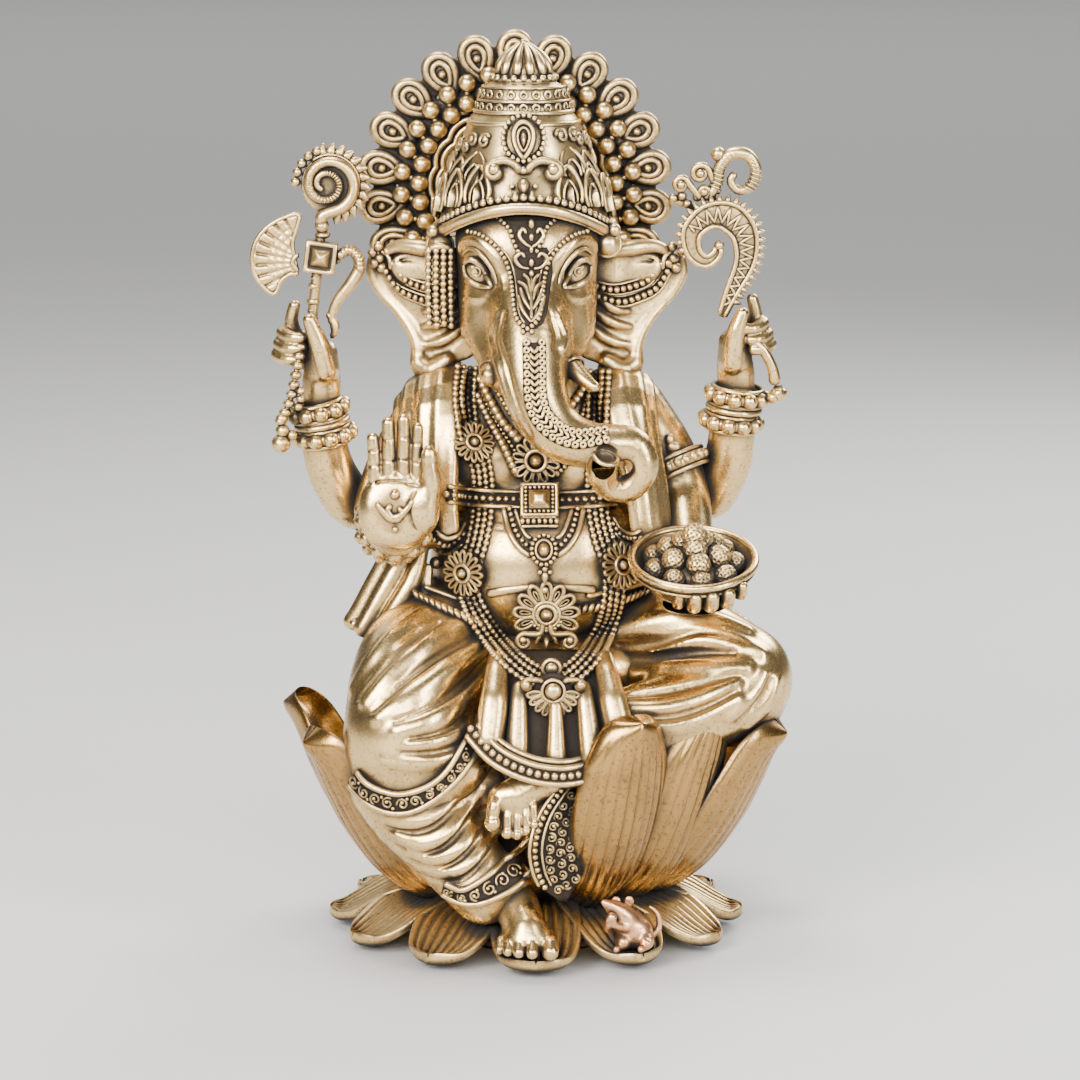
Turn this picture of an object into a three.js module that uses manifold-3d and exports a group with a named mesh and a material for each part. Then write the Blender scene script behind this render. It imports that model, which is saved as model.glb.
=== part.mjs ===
// A seated Ganesha idol in cast brass, about 165 mm tall, as an assembly of separately cast pieces.
// Millimetres, +Z up. The origin is the middle of the flat underside; the figure faces -Y.
import * as THREE from "three";
import { mergeVertices } from "three/addons/utils/BufferGeometryUtils.js";
import Module from "manifold-3d";

const wasm = await Module();
wasm.setup();

// ---- Driving dimensions ---------------------------------------------------------------------
const GAP = 0.3; // clearance where one casting is seated against another
const BASE_RADIUS = 18.5; // flat closing plate under the lotus
const BASE_THICK = 2.2;
const CORE_FLOOR = BASE_THICK + GAP; // where the hollow lotus drum starts
const SEAT_Z = 41; // top of the lotus drum, where the figure sits
const FOOT_PETALS = 12; // flat petals lying on the table
const FOOT_PETAL_HALF_WIDTH = 7.3;
// upright petals, in degrees from the front towards +X; the front is open for the hanging leg
const CUP_PETAL_ANGLES = [24, 50, 78, 106, 136, 166, 196, 226, 258, 303];
const CUP_PETAL_HALF_WIDTH = 10.2;
const PETAL_THICK = 1.8;
const BELLY = [1, -1, 70];
const CHEST = [-1, 3, 88];
const HEAD = [-1.7, -3, 121];
const CROWN_FOOT_Z = 130.5;
const CROWN_TOP_Z = 165;
const HALO_CENTRE = [-3.9, 137.6]; // x, z
const HALO_RADIUS = 25.2;
const HALO_LOBES = 15;
const HALO_Y = 11;
const BOWL = [28.3, -22, 73.6]; // centre of the bowl's rim
const BOWL_TILT = 19; // degrees, towards the front
const TRUNK_CURL = [16.1, -22.5, 90.8];

const degrees = THREE.MathUtils.degToRad;
const vector = (p) => new THREE.Vector3(...p);

// ---- Materials ------------------------------------------------------------------------------
const brass = (color, roughness) => new THREE.MeshStandardMaterial({ color, roughness, metalness: 1 });
const MATERIALS = {
  polished: brass(0xc9a565, 0.28),
  antique: brass(0xa8884f, 0.4),
  coppery: brass(0xc08a5e, 0.33),
};

// ---- Solids ---------------------------------------------------------------------------------
// Every maker below returns a function of `grow`, the distance by which the shape is let out, so that
// a neighbour can be cut back from it with clearance.

// The geometry with only its positions, and each shared corner stored once.
function closed(geometry) {
  geometry.deleteAttribute("normal");
  geometry.deleteAttribute("uv");
  return mergeVertices(geometry, 1e-4);
}

function solidOf(geometry) {
  const merged = closed(geometry);
  const mesh = new wasm.Mesh({
    numProp: 3,
    vertProperties: merged.attributes.position.array,
    triVerts: new Uint32Array(merged.index.array),
  });
  return new wasm.Manifold(mesh);
}

function geometryOf(solid) {
  const mesh = solid.getMesh();
  const geometry = new THREE.BufferGeometry();
  geometry.setAttribute("position", new THREE.BufferAttribute(mesh.vertProperties, 3));
  geometry.setIndex(new THREE.BufferAttribute(mesh.triVerts, 1));
  return geometry;
}

// Moves every vertex of a geometry with place(x, y, z) -> Vector3.
function reshape(geometry, place) {
  const position = geometry.attributes.position;
  for (let i = 0; i < position.count; i++) {
    const p = place(position.getX(i), position.getY(i), position.getZ(i));
    position.setXYZ(i, p.x, p.y, p.z);
  }
  return geometry;
}

const ball = (centre, radii, wide = 10, high = 6) => (grow) => {
  const geometry = new THREE.SphereGeometry(1, wide, high);
  geometry.rotateX(Math.PI / 2);
  geometry.scale(...radii.map((r) => r + grow));
  return solidOf(geometry.translate(...centre));
};

const box = (centre, size) => (grow) =>
  solidOf(new THREE.BoxGeometry(...size.map((s) => s + 2 * grow)).translate(...centre));

// A value read from evenly spaced samples, at t from 0 to 1.
function sample(values, t) {
  const place = Math.min(Math.max(t, 0), 1) * (values.length - 1);
  const low = Math.min(Math.floor(place), values.length - 2);
  return THREE.MathUtils.lerp(values[low], values[low + 1], place - low);
}

// The curve through the points, let out at both ends by grow.
function letOut(points, grow) {
  const through = points.map(vector);
  const last = through.length - 1;
  const away = (from, to) => to.clone().sub(from).normalize().multiplyScalar(grow);
  const first = through[0].clone().add(away(through[1], through[0]));
  const end = through[last].clone().add(away(through[last - 1], through[last]));
  through[0] = first;
  through[last] = end;
  return new THREE.CatmullRomCurve3(through);
}

// A round bar along a curve, whose radius changes along it. deep flattens it front to back.
const limb = (points, radii, { sides = 8, steps = points.length + 1, deep = 1 } = {}) => (grow) => {
  const curve = letOut(points, grow);
  const frames = curve.computeFrenetFrames(steps);
  const geometry = closed(new THREE.CylinderGeometry(1, 1, 1, sides, steps));
  return solidOf(
    reshape(geometry, (x, y, z) => {
      const t = 0.5 - y;
      const at = Math.round(t * steps);
      const radius = sample(radii, t) + grow;
      const centre = curve.getPointAt(t);
      const out = frames.normals[at].clone().multiplyScalar(x * radius);
      out.addScaledVector(frames.binormals[at], z * radius);
      out.y *= deep;
      return centre.add(out);
    }),
  );
};

// A sheet along a curved spine, for petals and cloth. side is the direction of its width. Its face is
// spine x side, and cup is how far its edges curl towards that face.
const blade = (spine, side, widths, thick, cup = 0, { across = 2, along = 5 } = {}) => (grow) => {
  const curve = letOut(spine, grow);
  const wide = vector(side).normalize();
  const geometry = closed(new THREE.BoxGeometry(2, 1, 1, across, 1, along));
  return solidOf(
    reshape(geometry, (x, y, z) => {
      const t = z + 0.5;
      const tangent = curve.getTangentAt(t);
      const out = tangent.clone().cross(wide).normalize();
      const point = curve.getPointAt(t);
      point.addScaledVector(wide, x * (sample(widths, t) + grow));
      return point.addScaledVector(out, y * (thick + 2 * grow) + cup * x * x);
    }),
  );
};

// A flat plate in the X-Z plane, cut to a Shape, from y to y + thick.
const plate = (shape, y, thick) => (grow) => {
  const geometry = new THREE.ExtrudeGeometry(shape, { depth: thick + 2 * grow, bevelEnabled: false });
  return solidOf(geometry.rotateX(Math.PI / 2).translate(0, y + thick + grow, 0));
};

// A turned profile let out by grow: each corner moves square to the line between its two neighbours.
function letOutProfile(profile, grow) {
  return profile.map(([r, z], i) => {
    const [r0, z0] = profile[Math.max(i - 1, 0)];
    const [r1, z1] = profile[Math.min(i + 1, profile.length - 1)];
    const out = new THREE.Vector2(z1 - z0, r0 - r1).normalize();
    return new THREE.Vector2(r > 0 ? r + out.x * grow : 0, z + out.y * grow);
  });
}

// A profile turned about an upright axis, then tilted towards the front.
const turned = (profile, centre, sides, tilt = 0) => (grow) => {
  const geometry = new THREE.LatheGeometry(letOutProfile(profile, grow), sides).rotateX(Math.PI / 2);
  return solidOf(geometry.rotateX(degrees(tilt)).translate(...centre));
};

const joined = (...makers) => (grow) =>
  makers.map((make) => make(grow)).reduce((whole, part) => whole.add(part));

// A smooth closed outline through points given as [x, z].
function outline(points) {
  const loop = new THREE.CatmullRomCurve3(points.map(([x, z]) => new THREE.Vector3(x, z, 0)), true);
  return new THREE.Shape(loop.getPoints(points.length * 2).map((p) => new THREE.Vector2(p.x, p.y)));
}

const straight = (points) => new THREE.Shape(points.map(([x, z]) => new THREE.Vector2(x, z)));

// ---- Lotus ----------------------------------------------------------------------------------
const basePlate = (grow) => {
  const geometry = new THREE.CylinderGeometry(BASE_RADIUS, BASE_RADIUS, BASE_THICK + 2 * grow, 32);
  return solidOf(geometry.rotateX(Math.PI / 2).translate(0, 0, BASE_THICK / 2));
};

// The drum is hollow and opens downwards, where the plate closes it.
const CORE_PROFILE = [
  [0, SEAT_Z - 3.5], [27, SEAT_Z - 4], [30.5, SEAT_Z - 7], [26.5, 24], [19.5, 15], [13, 10.5],
  [13, CORE_FLOOR], [16.5, CORE_FLOOR], [16.5, 9], [22.5, 12.5], [30, 22], [34, 33],
  [34, SEAT_Z - 3], [28, SEAT_Z - 0.5], [0, SEAT_Z],
];
const lotusCore = turned(CORE_PROFILE, [0, 0, 0], 16);

// A petal whose spine is given as [distance from the axis, height], turned by angle from the front.
function petal(angle, spine, widths, cup) {
  const a = degrees(angle);
  const placed = spine.map(([r, z]) => [r * Math.sin(a), -r * Math.cos(a), z]);
  return blade(placed, [Math.cos(a), Math.sin(a), 0], widths, PETAL_THICK, cup);
}

const FOOT_SPINE = [[17.5, 8.2], [24, 7.4], [31, 4.2], [35.5, 1.9], [38.8, 2.4]];
const FOOT_WIDTHS = [0.62, 0.85, 1, 0.95, 0.62, 0.08].map((w) => w * FOOT_PETAL_HALF_WIDTH);
const footPetal = (index) => petal(index * (360 / FOOT_PETALS), FOOT_SPINE, FOOT_WIDTHS, 0.8);

// The petals beside the open front stand more upright than those at the sides and back.
const CUP_SPINE_UPRIGHT = [[19, 9.6], [29, 14], [36, 24], [39.5, 35], [41, 46.5]];
const CUP_SPINE_OPEN = [[19, 9.6], [29.5, 13], [38, 22], [43.5, 32], [47.3, 41]];
const CUP_WIDTHS = [0.55, 0.85, 1, 1, 0.8, 0.12].map((w) => w * CUP_PETAL_HALF_WIDTH);
function cupPetal(index) {
  const spine = index < 2 ? CUP_SPINE_UPRIGHT : CUP_SPINE_OPEN;
  return petal(CUP_PETAL_ANGLES[index], spine, CUP_WIDTHS, 2.6);
}

// ---- Figure: body and legs ------------------------------------------------------------------
const torso = joined(
  ball(BELLY, [20.5, 15.5, 16], 14, 8),
  ball(CHEST, [19, 11.5, 17], 12, 8),
  ball([-1, 3, 98], [21.5, 8.5, 7.5]),
);
const lapDhoti = ball([0, 6, 50], [30, 21, 11.5], 12, 6);
const rightThigh = joined(
  limb([[-12, 4, 53], [-19, -9, 51], [-25, -22, 46]], [12, 13, 11.5]),
  ball([-25, -25, 43.5], [12.5, 9.5, 12.5]),
);
const rightShinWrap = limb([[-23.5, -26, 33], [-16.5, -27.5, 25], [-9, -28, 16.5]], [10, 9.6, 7.6]);
const rightFoot = joined(
  limb([[-5.5, -28, 14], [-3, -32, 9.8], [-1.2, -38.6, 6.2]], [4.2, 5, 3.4]),
  ball([-1, -38, 6.1], [5.2, 3, 2]),
);
const leftLeg = joined(
  limb([[8, 6, 54], [24, -4, 54.5], [38, -12, 49.5]], [10, 9.5, 9.5]),
  limb([[38, -13, 48], [20, -23, 45.5], [3, -27, 38]], [8.8, 8, 6.2]),
  limb([[4, -27, 37], [-2.5, -30, 32], [-5, -31, 27.5]], [5, 4.6, 3]),
);

// ---- Figure: head ---------------------------------------------------------------------------
const head = joined(ball(HEAD, [12.3, 12, 14], 12, 8), ball([-1, -8.5, 111.5], [8.3, 8, 9.5]));

const CURL_TURN = 3.5; // radius of the trunk's rolled end, at the middle of the bar
const curlPoint = (angle) => [
  TRUNK_CURL[0] + CURL_TURN * Math.cos(degrees(angle)),
  TRUNK_CURL[1],
  TRUNK_CURL[2] + CURL_TURN * Math.sin(degrees(angle)),
];
const trunk = limb(
  [
    [-1, -15, 114], [-0.6, -18.5, 106.5], [1.2, -20.5, 100.5], [5, -22, 96.2], [10.5, -22.5, 94.4],
    ...[80, 25, -30, -85, -140].map(curlPoint),
  ],
  [7, 6.5, 6, 5.1, 4, 3.1, 2.7, 2.6, 2.5, 2.2],
  { steps: 16 },
);
const rightTusk = limb([[-7, -12, 109], [-8.6, -16, 106], [-9.3, -18.5, 104]], [2.1, 1.9, 1.6], { sides: 6 });
const leftTusk = limb([[5.5, -13, 108], [8.5, -17, 105.4], [11.8, -19.5, 103.2]], [2, 1.6, 0.8], { sides: 6 });

const EAR_OUTLINE = [
  [9, 124], [18, 127.4], [29, 126.6], [27.5, 119], [23, 111.5], [20.8, 104], [15, 102.6], [9, 108],
];
const ear = (side) => plate(outline(EAR_OUTLINE.map(([x, z]) => [side * x - 1.7, z])), 1.2, 3);

// ---- Crown and halo -------------------------------------------------------------------------
const CROWN_PROFILE = [
  [0, -2], [16.3, -2], [17.2, 0], [16.6, 4], [15.2, 11], [12.4, 16.5], [8.8, 20], [8.2, 24.5],
  [6, 28], [4.6, 31], [0, CROWN_TOP_Z - CROWN_FOOT_Z],
];
const crown = turned(CROWN_PROFILE, [-2, 0.5, CROWN_FOOT_Z], 16);
const earTassel = limb([[-17.4, -6, 128.5], [-17.8, -6, 121], [-17.6, -6, 114]], [2.2, 2.4, 2.2], { sides: 6 });

// The halo is a round plate edged with lobes, one behind each feather eye, and open at the bottom.
const HALO_START = -24; // degrees above the horizontal, on the +X side
function haloShape() {
  const [x, z] = HALO_CENTRE;
  const step = (180 - 2 * HALO_START) / HALO_LOBES;
  const shape = new THREE.Shape();
  const at = (angle, radius) => [x + radius * Math.cos(degrees(angle)), z + radius * Math.sin(degrees(angle))];
  shape.moveTo(...at(HALO_START, HALO_RADIUS - 11));
  for (let i = 0; i <= HALO_LOBES; i++) {
    const angle = HALO_START + i * step;
    shape.lineTo(...at(angle, HALO_RADIUS));
    if (i < HALO_LOBES) {
      shape.lineTo(...at(angle + step * 0.25, HALO_RADIUS + 2.1));
      shape.lineTo(...at(angle + step * 0.75, HALO_RADIUS + 2.1));
    }
  }
  shape.lineTo(...at(180 - HALO_START, HALO_RADIUS - 11));
  return shape;
}
const halo = plate(haloShape(), HALO_Y, 2.6);

// ---- Arms and hands -------------------------------------------------------------------------
const rearRightArm = limb(
  [[-15, 8, 93], [-25, 9, 84], [-33, 7, 80], [-36.5, 3, 86], [-39, 0.5, 96.5]],
  [5.5, 5.8, 5.8, 5.3, 4.4],
);
const rearLeftArm = limb(
  [[14, 8, 93], [24, 9, 85], [31, 7, 80.5], [34.5, 3, 87], [36, 0.5, 97]],
  [5.5, 5.8, 5.8, 5.3, 4.4],
);
const rearRightHand = joined(
  limb([[-39, 0.5, 97.4], [-39.6, 0, 104], [-39.6, -0.5, 110]], [3.3, 4, 3.4]),
  limb([[-43, 2.5, 104.5], [-44.8, -1, 107], [-42, -3.5, 109]], [2.2, 2.6, 2], { sides: 6 }),
);
const rearLeftHand = joined(
  limb([[36, 0.5, 97.9], [36.6, 0, 105], [37, -0.5, 111.5]], [3.3, 4, 3.2]),
  limb([[39.5, 1.5, 112], [42, -0.5, 109], [40.5, -3, 106.5]], [2, 2.6, 2], { sides: 6 }),
  limb([[39.5, -2, 108], [42.5, -2.2, 103], [45.6, -2.2, 96.4]], [1, 1.1, 1.5], { sides: 6 }),
);
const frontRightArm = limb(
  [[-18.5, 3, 97], [-25, 2, 87], [-28, -1, 79], [-26.8, -9, 77.5], [-25.6, -17, 79.5]],
  [6.8, 6.6, 6, 5.2, 4.7],
);
const FINGERS = [
  { x: -28.9, top: 96.4, r: 1.35 }, { x: -25.8, top: 99.8, r: 1.45 },
  { x: -22.7, top: 99.4, r: 1.45 }, { x: -19.8, top: 96.6, r: 1.3 },
];
const blessingHand = joined(
  ball([-24.2, -23.5, 81], [6.4, 2.8, 7.6]),
  ...FINGERS.map(({ x, top, r }) =>
    limb([[x, -23.5, 84], [x, -24.4, 91], [x, -25, top]], [r, r, r * 0.75], { sides: 6 }),
  ),
  limb([[-20.5, -24, 82], [-17.6, -25, 87], [-17.8, -25.4, 92]], [2.2, 1.7, 1.3], { sides: 6 }),
);
const frontLeftArm = joined(
  limb([[17.5, 3, 97], [24, 2, 88], [28.5, 0, 80], [29, -8, 72.5], [28.5, -19, 66.5]], [6.8, 6.6, 6, 4.9, 4]),
  ball([28.5, -22.5, 65.2], [6.6, 6, 2.4]),
);

// ---- What the hands hold --------------------------------------------------------------------
const SHAFT_X = -39.9;
const AXE_Z = 126.3;
const axeBlade = plate(
  outline([[-42, 128.6], [-45, 131], [-48.6, 131.6], [-51.6, 127.6], [-51.2, 122.4], [-48.4, 118.4], [-45.4, 121.4], [-42, 123.4]]),
  -1.9, 1.6,
);
const axe = joined(
  axeBlade,
  box([SHAFT_X, -1.1, AXE_Z], [6.4, 3.6, 5.6]),
  limb([[SHAFT_X, -1.1, 132.5], [SHAFT_X, -1.1, 122], [-40.2, -0.9, 109.5]], [1.2, 1.5, 1.3], { sides: 6 }),
  limb([[SHAFT_X, -1.1, 127], [-34.6, -1.1, 128], [-32.8, -1.1, 123.5], [-36, -1.1, 118], [-36.6, -1.1, 112.5]],
    [0.9, 1.1, 1.1, 1, 0.8], { sides: 6 }),
);

// A round ornament with a saw-toothed rim, above the axe.
function toothedDisc(x, z, inner, outer, teeth) {
  const points = [];
  for (let i = 0; i < teeth * 2; i++) {
    const angle = (i / (teeth * 2)) * Math.PI * 2;
    const radius = i % 2 ? inner : outer;
    points.push([x + radius * Math.cos(angle), z + radius * Math.sin(angle)]);
  }
  return straight(points);
}
const axeScroll = plate(toothedDisc(-36.9, 139.4, 5.1, 6.3, 16), -1.6, 1.8);

const NOOSE_Y = -1;
const noose = joined(
  limb(
    [[36.6, 114.5], [38.2, 121], [38.4, 128], [34.4, 133.2], [29.4, 131], [28.6, 126.4], [32, 124.2]]
      .map(([x, z]) => [x, NOOSE_Y, z]),
    [1.8, 2.4, 2.6, 2.5, 2.3, 1.8, 1],
    { sides: 8, deep: 0.6 },
  ),
  limb(
    [[31, 133], [32.5, 138.5], [36.5, 142], [40, 140], [38.6, 136.4]].map(([x, z]) => [x, NOOSE_Y, z]),
    [1.4, 1.5, 1.6, 1.5, 1],
    { sides: 7, deep: 0.8 },
  ),
);
const rosary = limb([[-43.2, -3.2, 103], [-44.8, -4.2, 97], [-46.2, -5, 90.5]], [1.5, 1.7, 1.9], { sides: 6 });

const BOWL_PROFILE = [
  [0, -4.6], [4.5, -4.3], [8.4, -2.6], [10.4, 0], [11.3, 0.2], [9.6, -3.4], [6, -5.9], [3.6, -6.6], [0, -6.6],
];
const sweetsBowl = turned([...BOWL_PROFILE].reverse(), BOWL, 14, BOWL_TILT);

// Sweets are piled in rings that climb to one in the middle.
const SWEET_RADIUS = 2.7;
const SWEET_RINGS = [{ count: 8, ring: 7, lift: -0.2 }, { count: 5, ring: 3.7, lift: 2 }, { count: 1, ring: 0, lift: 4.4 }];
const tiltAxis = new THREE.Vector3(1, 0, 0);
const sweets = joined(
  ball(BOWL, [6.4, 6.4, 3.4]),
  ...SWEET_RINGS.flatMap(({ count, ring, lift }) =>
    Array.from({ length: count }, (_, i) => {
      const angle = (i / count) * Math.PI * 2;
      const place = new THREE.Vector3(ring * Math.cos(angle), ring * Math.sin(angle), lift);
      place.applyAxisAngle(tiltAxis, degrees(BOWL_TILT)).add(vector(BOWL));
      return ball(place.toArray(), [SWEET_RADIUS, SWEET_RADIUS, SWEET_RADIUS], 6, 4);
    }),
  ),
);

// ---- Cloth and ornaments --------------------------------------------------------------------
const frontApron = blade(
  [[1, -15, 58], [1, -24, 52], [0.5, -31, 44], [0.5, -33.5, 36]], [1, 0, 0], [9, 10, 11.5, 11.5], 2, -2.2,
);
const shawlTail = blade(
  [[-21, -7, 76], [-27, -7, 66], [-31.5, -8, 57.5]], [0.75, -0.5, -0.45], [4.5, 5, 4], 2.2, 0.5,
);
const shawlRight = blade(
  [[-14.5, 6, 106.5], [-18.5, -5.5, 103.5], [-19.5, -10.5, 92], [-17.5, -13.5, 79]], [1, 0, -0.1], [4.6, 6, 6, 5], 2.2, -1.6,
);
const shawlLeft = blade(
  [[14.5, 6, 106.5], [18.5, -5.5, 103.5], [19.5, -10.5, 92], [20.5, -12.5, 79]], [1, 0, 0.1], [4.6, 6, 6, 5], 2.2, -1.6,
);
const garland = limb(
  [
    [-11, -11.5, 103], [-11.5, -15, 92], [-9, -18, 80.5], [-12, -18.5, 70], [-7, -24, 60], [1.5, -34, 50.5],
    [8.5, -24, 60], [13, -18.5, 71], [12, -17, 81], [13, -14, 92], [11, -11.5, 103],
  ],
  [2.2, 2.2],
  { sides: 5, steps: 22 },
);
const bellyOrnament = joined(
  limb([[1.2, -17, 84], [1.2, -18.4, 75], [1.2, -18.6, 64]], [1.3, 1.3, 1.3], { sides: 6 }),
  box([1, -17.4, 82.4], [7.2, 3.4, 7.6]),
  ball([1.3, -17.6, 74.2], [3.2, 2, 3.8]),
  ball([1.4, -18, 63.6], [5.6, 2.4, 4.6]),
);
const mouse = joined(
  ball([17.2, -29.6, 8.2], [3.6, 3.4, 3.8]),
  ball([15, -31.2, 11.8], [2, 2.2, 1.8]),
);

// ---- Assembly -------------------------------------------------------------------------------
// Pieces in the order in which they are seated: each is cut back from all those before it.
const numbered = (name, count, make) =>
  Array.from({ length: count }, (_, i) => [`${name}_${String(i + 1).padStart(2, "0")}`, make(i), "antique"]);

const PIECES = [
  ["base_plate", basePlate, "antique"],
  ["lotus_core", lotusCore, "antique"],
  ["torso", torso, "polished"],
  ["head", head, "polished"],
  ["right_thigh", rightThigh, "polished"],
  ["left_leg", leftLeg, "polished"],
  ["right_shin_wrap", rightShinWrap, "polished"],
  ["right_foot", rightFoot, "polished"],
  ["lap_dhoti", lapDhoti, "polished"],
  ["trunk", trunk, "polished"],
  ...numbered("cup_petal", CUP_PETAL_ANGLES.length, cupPetal),
  ...numbered("foot_petal", FOOT_PETALS, footPetal),
  ["front_right_arm", frontRightArm, "polished"],
  ["blessing_hand", blessingHand, "polished"],
  ["front_left_arm", frontLeftArm, "polished"],
  ["rear_right_arm", rearRightArm, "polished"],
  ["rear_left_arm", rearLeftArm, "polished"],
  ["rear_right_hand", rearRightHand, "polished"],
  ["rear_left_hand", rearLeftHand, "polished"],
  ["sweets_bowl", sweetsBowl, "antique"],
  ["sweets", sweets, "polished"],
  ["crown", crown, "polished"],
  ["right_ear", ear(-1), "polished"],
  ["left_ear", ear(1), "polished"],
  ["right_tusk", rightTusk, "polished"],
  ["left_tusk", leftTusk, "polished"],
  ["halo", halo, "antique"],
  ["front_apron", frontApron, "polished"],
  ["shawl_right", shawlRight, "antique"],
  ["shawl_left", shawlLeft, "antique"],
  ["shawl_tail", shawlTail, "antique"],
  ["axe", axe, "antique"],
  ["axe_scroll", axeScroll, "antique"],
  ["noose", noose, "antique"],
  ["rosary", rosary, "antique"],
  ["garland", garland, "antique"],
  ["belly_ornament", bellyOrnament, "antique"],
  ["ear_tassel", earTassel, "antique"],
  ["mouse", mouse, "coppery"],
];

const boxesMeet = (a, b) => [0, 1, 2].every((i) => a.min[i] < b.max[i] && b.min[i] < a.max[i]);
const largest = (solid) => solid.decompose().reduce((a, b) => (b.volume() > a.volume() ? b : a));

const part = new THREE.Group();
const seated = [];
for (const [name, make, finish] of PIECES) {
  let solid = make(0);
  for (const before of seated) {
    if (boxesMeet(before.boundingBox(), solid.boundingBox())) solid = solid.subtract(before);
  }
  const mesh = new THREE.Mesh(geometryOf(largest(solid)), MATERIALS[finish]);
  mesh.name = name;
  part.add(mesh);
  seated.push(make(GAP));
}

export default part;
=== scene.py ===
# A seated Ganesha idol in cast antique brass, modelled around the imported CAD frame.
# Shapes are worked out in millimetres with +Z up and the figure facing -Y, then written in metres.
import math

import bpy
import numpy as np
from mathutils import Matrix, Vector


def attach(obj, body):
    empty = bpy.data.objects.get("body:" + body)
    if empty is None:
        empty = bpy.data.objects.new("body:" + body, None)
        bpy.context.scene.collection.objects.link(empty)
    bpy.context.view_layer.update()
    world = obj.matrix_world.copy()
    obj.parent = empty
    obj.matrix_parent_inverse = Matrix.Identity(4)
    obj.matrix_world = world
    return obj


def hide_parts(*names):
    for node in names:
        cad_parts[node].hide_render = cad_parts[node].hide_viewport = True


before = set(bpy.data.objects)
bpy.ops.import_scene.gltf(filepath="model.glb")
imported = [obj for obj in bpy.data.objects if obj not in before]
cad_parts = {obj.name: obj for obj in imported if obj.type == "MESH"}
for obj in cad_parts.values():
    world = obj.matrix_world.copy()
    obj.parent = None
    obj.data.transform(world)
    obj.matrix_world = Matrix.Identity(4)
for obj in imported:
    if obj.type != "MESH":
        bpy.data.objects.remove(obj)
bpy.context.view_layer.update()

MM = 0.001
FAR = 50.0  # the distance that empty clay starts with, in millimetres
TURN = 2 * math.pi


# ---- Vectors and curves ----------------------------------------------------------------------
def unit(v):
    """The vector, or each row of vectors, at length 1."""
    v = np.asarray(v, float)
    return v / np.maximum(np.linalg.norm(v, axis=-1, keepdims=True), 1e-9)


def spline(points, count):
    """count points along a smooth curve through points, evenly spaced along its length."""
    p = np.asarray(points, float)
    if len(p) < 3:
        return p[0] + (p[-1] - p[0]) * np.linspace(0, 1, count)[:, None]
    p = np.vstack([2 * p[0] - p[1], p, 2 * p[-1] - p[-2]])
    t = np.linspace(0, 1, 12, endpoint=False)[:, None]
    spans = []
    for a, b, c, d in zip(p[:-3], p[1:-2], p[2:-1], p[3:]):
        spans.append(0.5 * (2 * b + (c - a) * t + (2 * a - 5 * b + 4 * c - d) * t**2
                            + (3 * b - a - 3 * c + d) * t**3))
    fine = np.vstack(spans + [p[-2:-1]])
    return along(fine, count)


def along(fine, count):
    """count points evenly spaced along a polyline."""
    length = np.concatenate([[0], np.cumsum(np.linalg.norm(np.diff(fine, axis=0), axis=1))])
    at = np.linspace(0, length[-1], count)
    return np.stack([np.interp(at, length, fine[:, i]) for i in range(fine.shape[1])], 1)


def path_length(points):
    return float(np.linalg.norm(np.diff(np.asarray(points, float), axis=0), axis=1).sum())


def heading(line):
    """The way that a line runs at each of its points."""
    return unit(np.gradient(line, axis=0))


def relaxed(line, times=1):
    """The line with its kinks eased, and its ends kept."""
    for _ in range(times):
        line[1:-1] = (line[:-2] + 2 * line[1:-1] + line[2:]) / 4
    return line


def spin(first, second, angle):
    """Axes turned so that the first leans towards the second. They are 0, 1 or 2 for X, Y or Z."""
    axes = np.eye(3)
    axes[first, first] = axes[second, second] = math.cos(angle)
    axes[first, second] = math.sin(angle)
    axes[second, first] = -math.sin(angle)
    return axes


def in_plane(places, y=0.0):
    """Places of [x, z] as points on the upright plane at y."""
    p = np.asarray(places, float)
    return np.stack([p[:, 0], np.full(len(p), y), p[:, 1]], 1)


def circle_points(centre, radius, angles):
    """Places of [x, z] on a circle, at angles from the right."""
    return [(centre[0] + radius * math.cos(a), centre[1] + radius * math.sin(a)) for a in angles]


def spread(values, count):
    """count values read from evenly spaced ones, eased so that they join smoothly."""
    values = np.atleast_1d(np.asarray(values, float))
    if len(values) == 1:
        return np.full(count, values[0])
    return spline(np.stack([np.linspace(0, 1, len(values)), values], 1), 240)[:, 1][
        np.linspace(0, 239, count).astype(int)]


def frames_along(points, closed=False, up=None):
    """Tangents and two square directions at each point, carried along without twisting."""
    p = np.asarray(points, float)
    tangent = unit(np.roll(p, -1, 0) - np.roll(p, 1, 0)) if closed else heading(p)
    if up is not None:
        side = unit(np.cross(tangent, np.broadcast_to(np.asarray(up, float), p.shape)))
        return tangent, side, np.cross(side, tangent)
    side = np.empty_like(p)
    start = np.eye(3)[np.argmin(np.abs(tangent[0]))]
    side[0] = unit(np.cross(tangent[0], start))
    for i in range(1, len(p)):
        carried = side[i - 1] - tangent[i] * side[i - 1].dot(tangent[i])
        side[i] = unit(carried)
    return tangent, side, np.cross(tangent, side)


# ---- Meshes ----------------------------------------------------------------------------------
class Shell:
    """A closed mesh in millimetres: corners, four-cornered faces and three-cornered faces."""

    def __init__(self, corners, quads=None, tris=None):
        self.corners = np.asarray(corners, float).reshape(-1, 3)
        self.quads = np.asarray(quads if quads is not None else [], int).reshape(-1, 4)
        self.tris = np.asarray(tris if tris is not None else [], int).reshape(-1, 3)

    def moved(self, by):
        return Shell(self.corners + np.asarray(by, float), self.quads, self.tris)

    def scaled(self, by):
        return Shell(self.corners * np.asarray(by, float), self.quads, self.tris)

    def placed(self, axes, at):
        """The shell with its X, Y and Z laid along the rows of axes, and its origin at a point."""
        return Shell(self.corners @ np.asarray(axes, float) + np.asarray(at, float), self.quads, self.tris)


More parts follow.
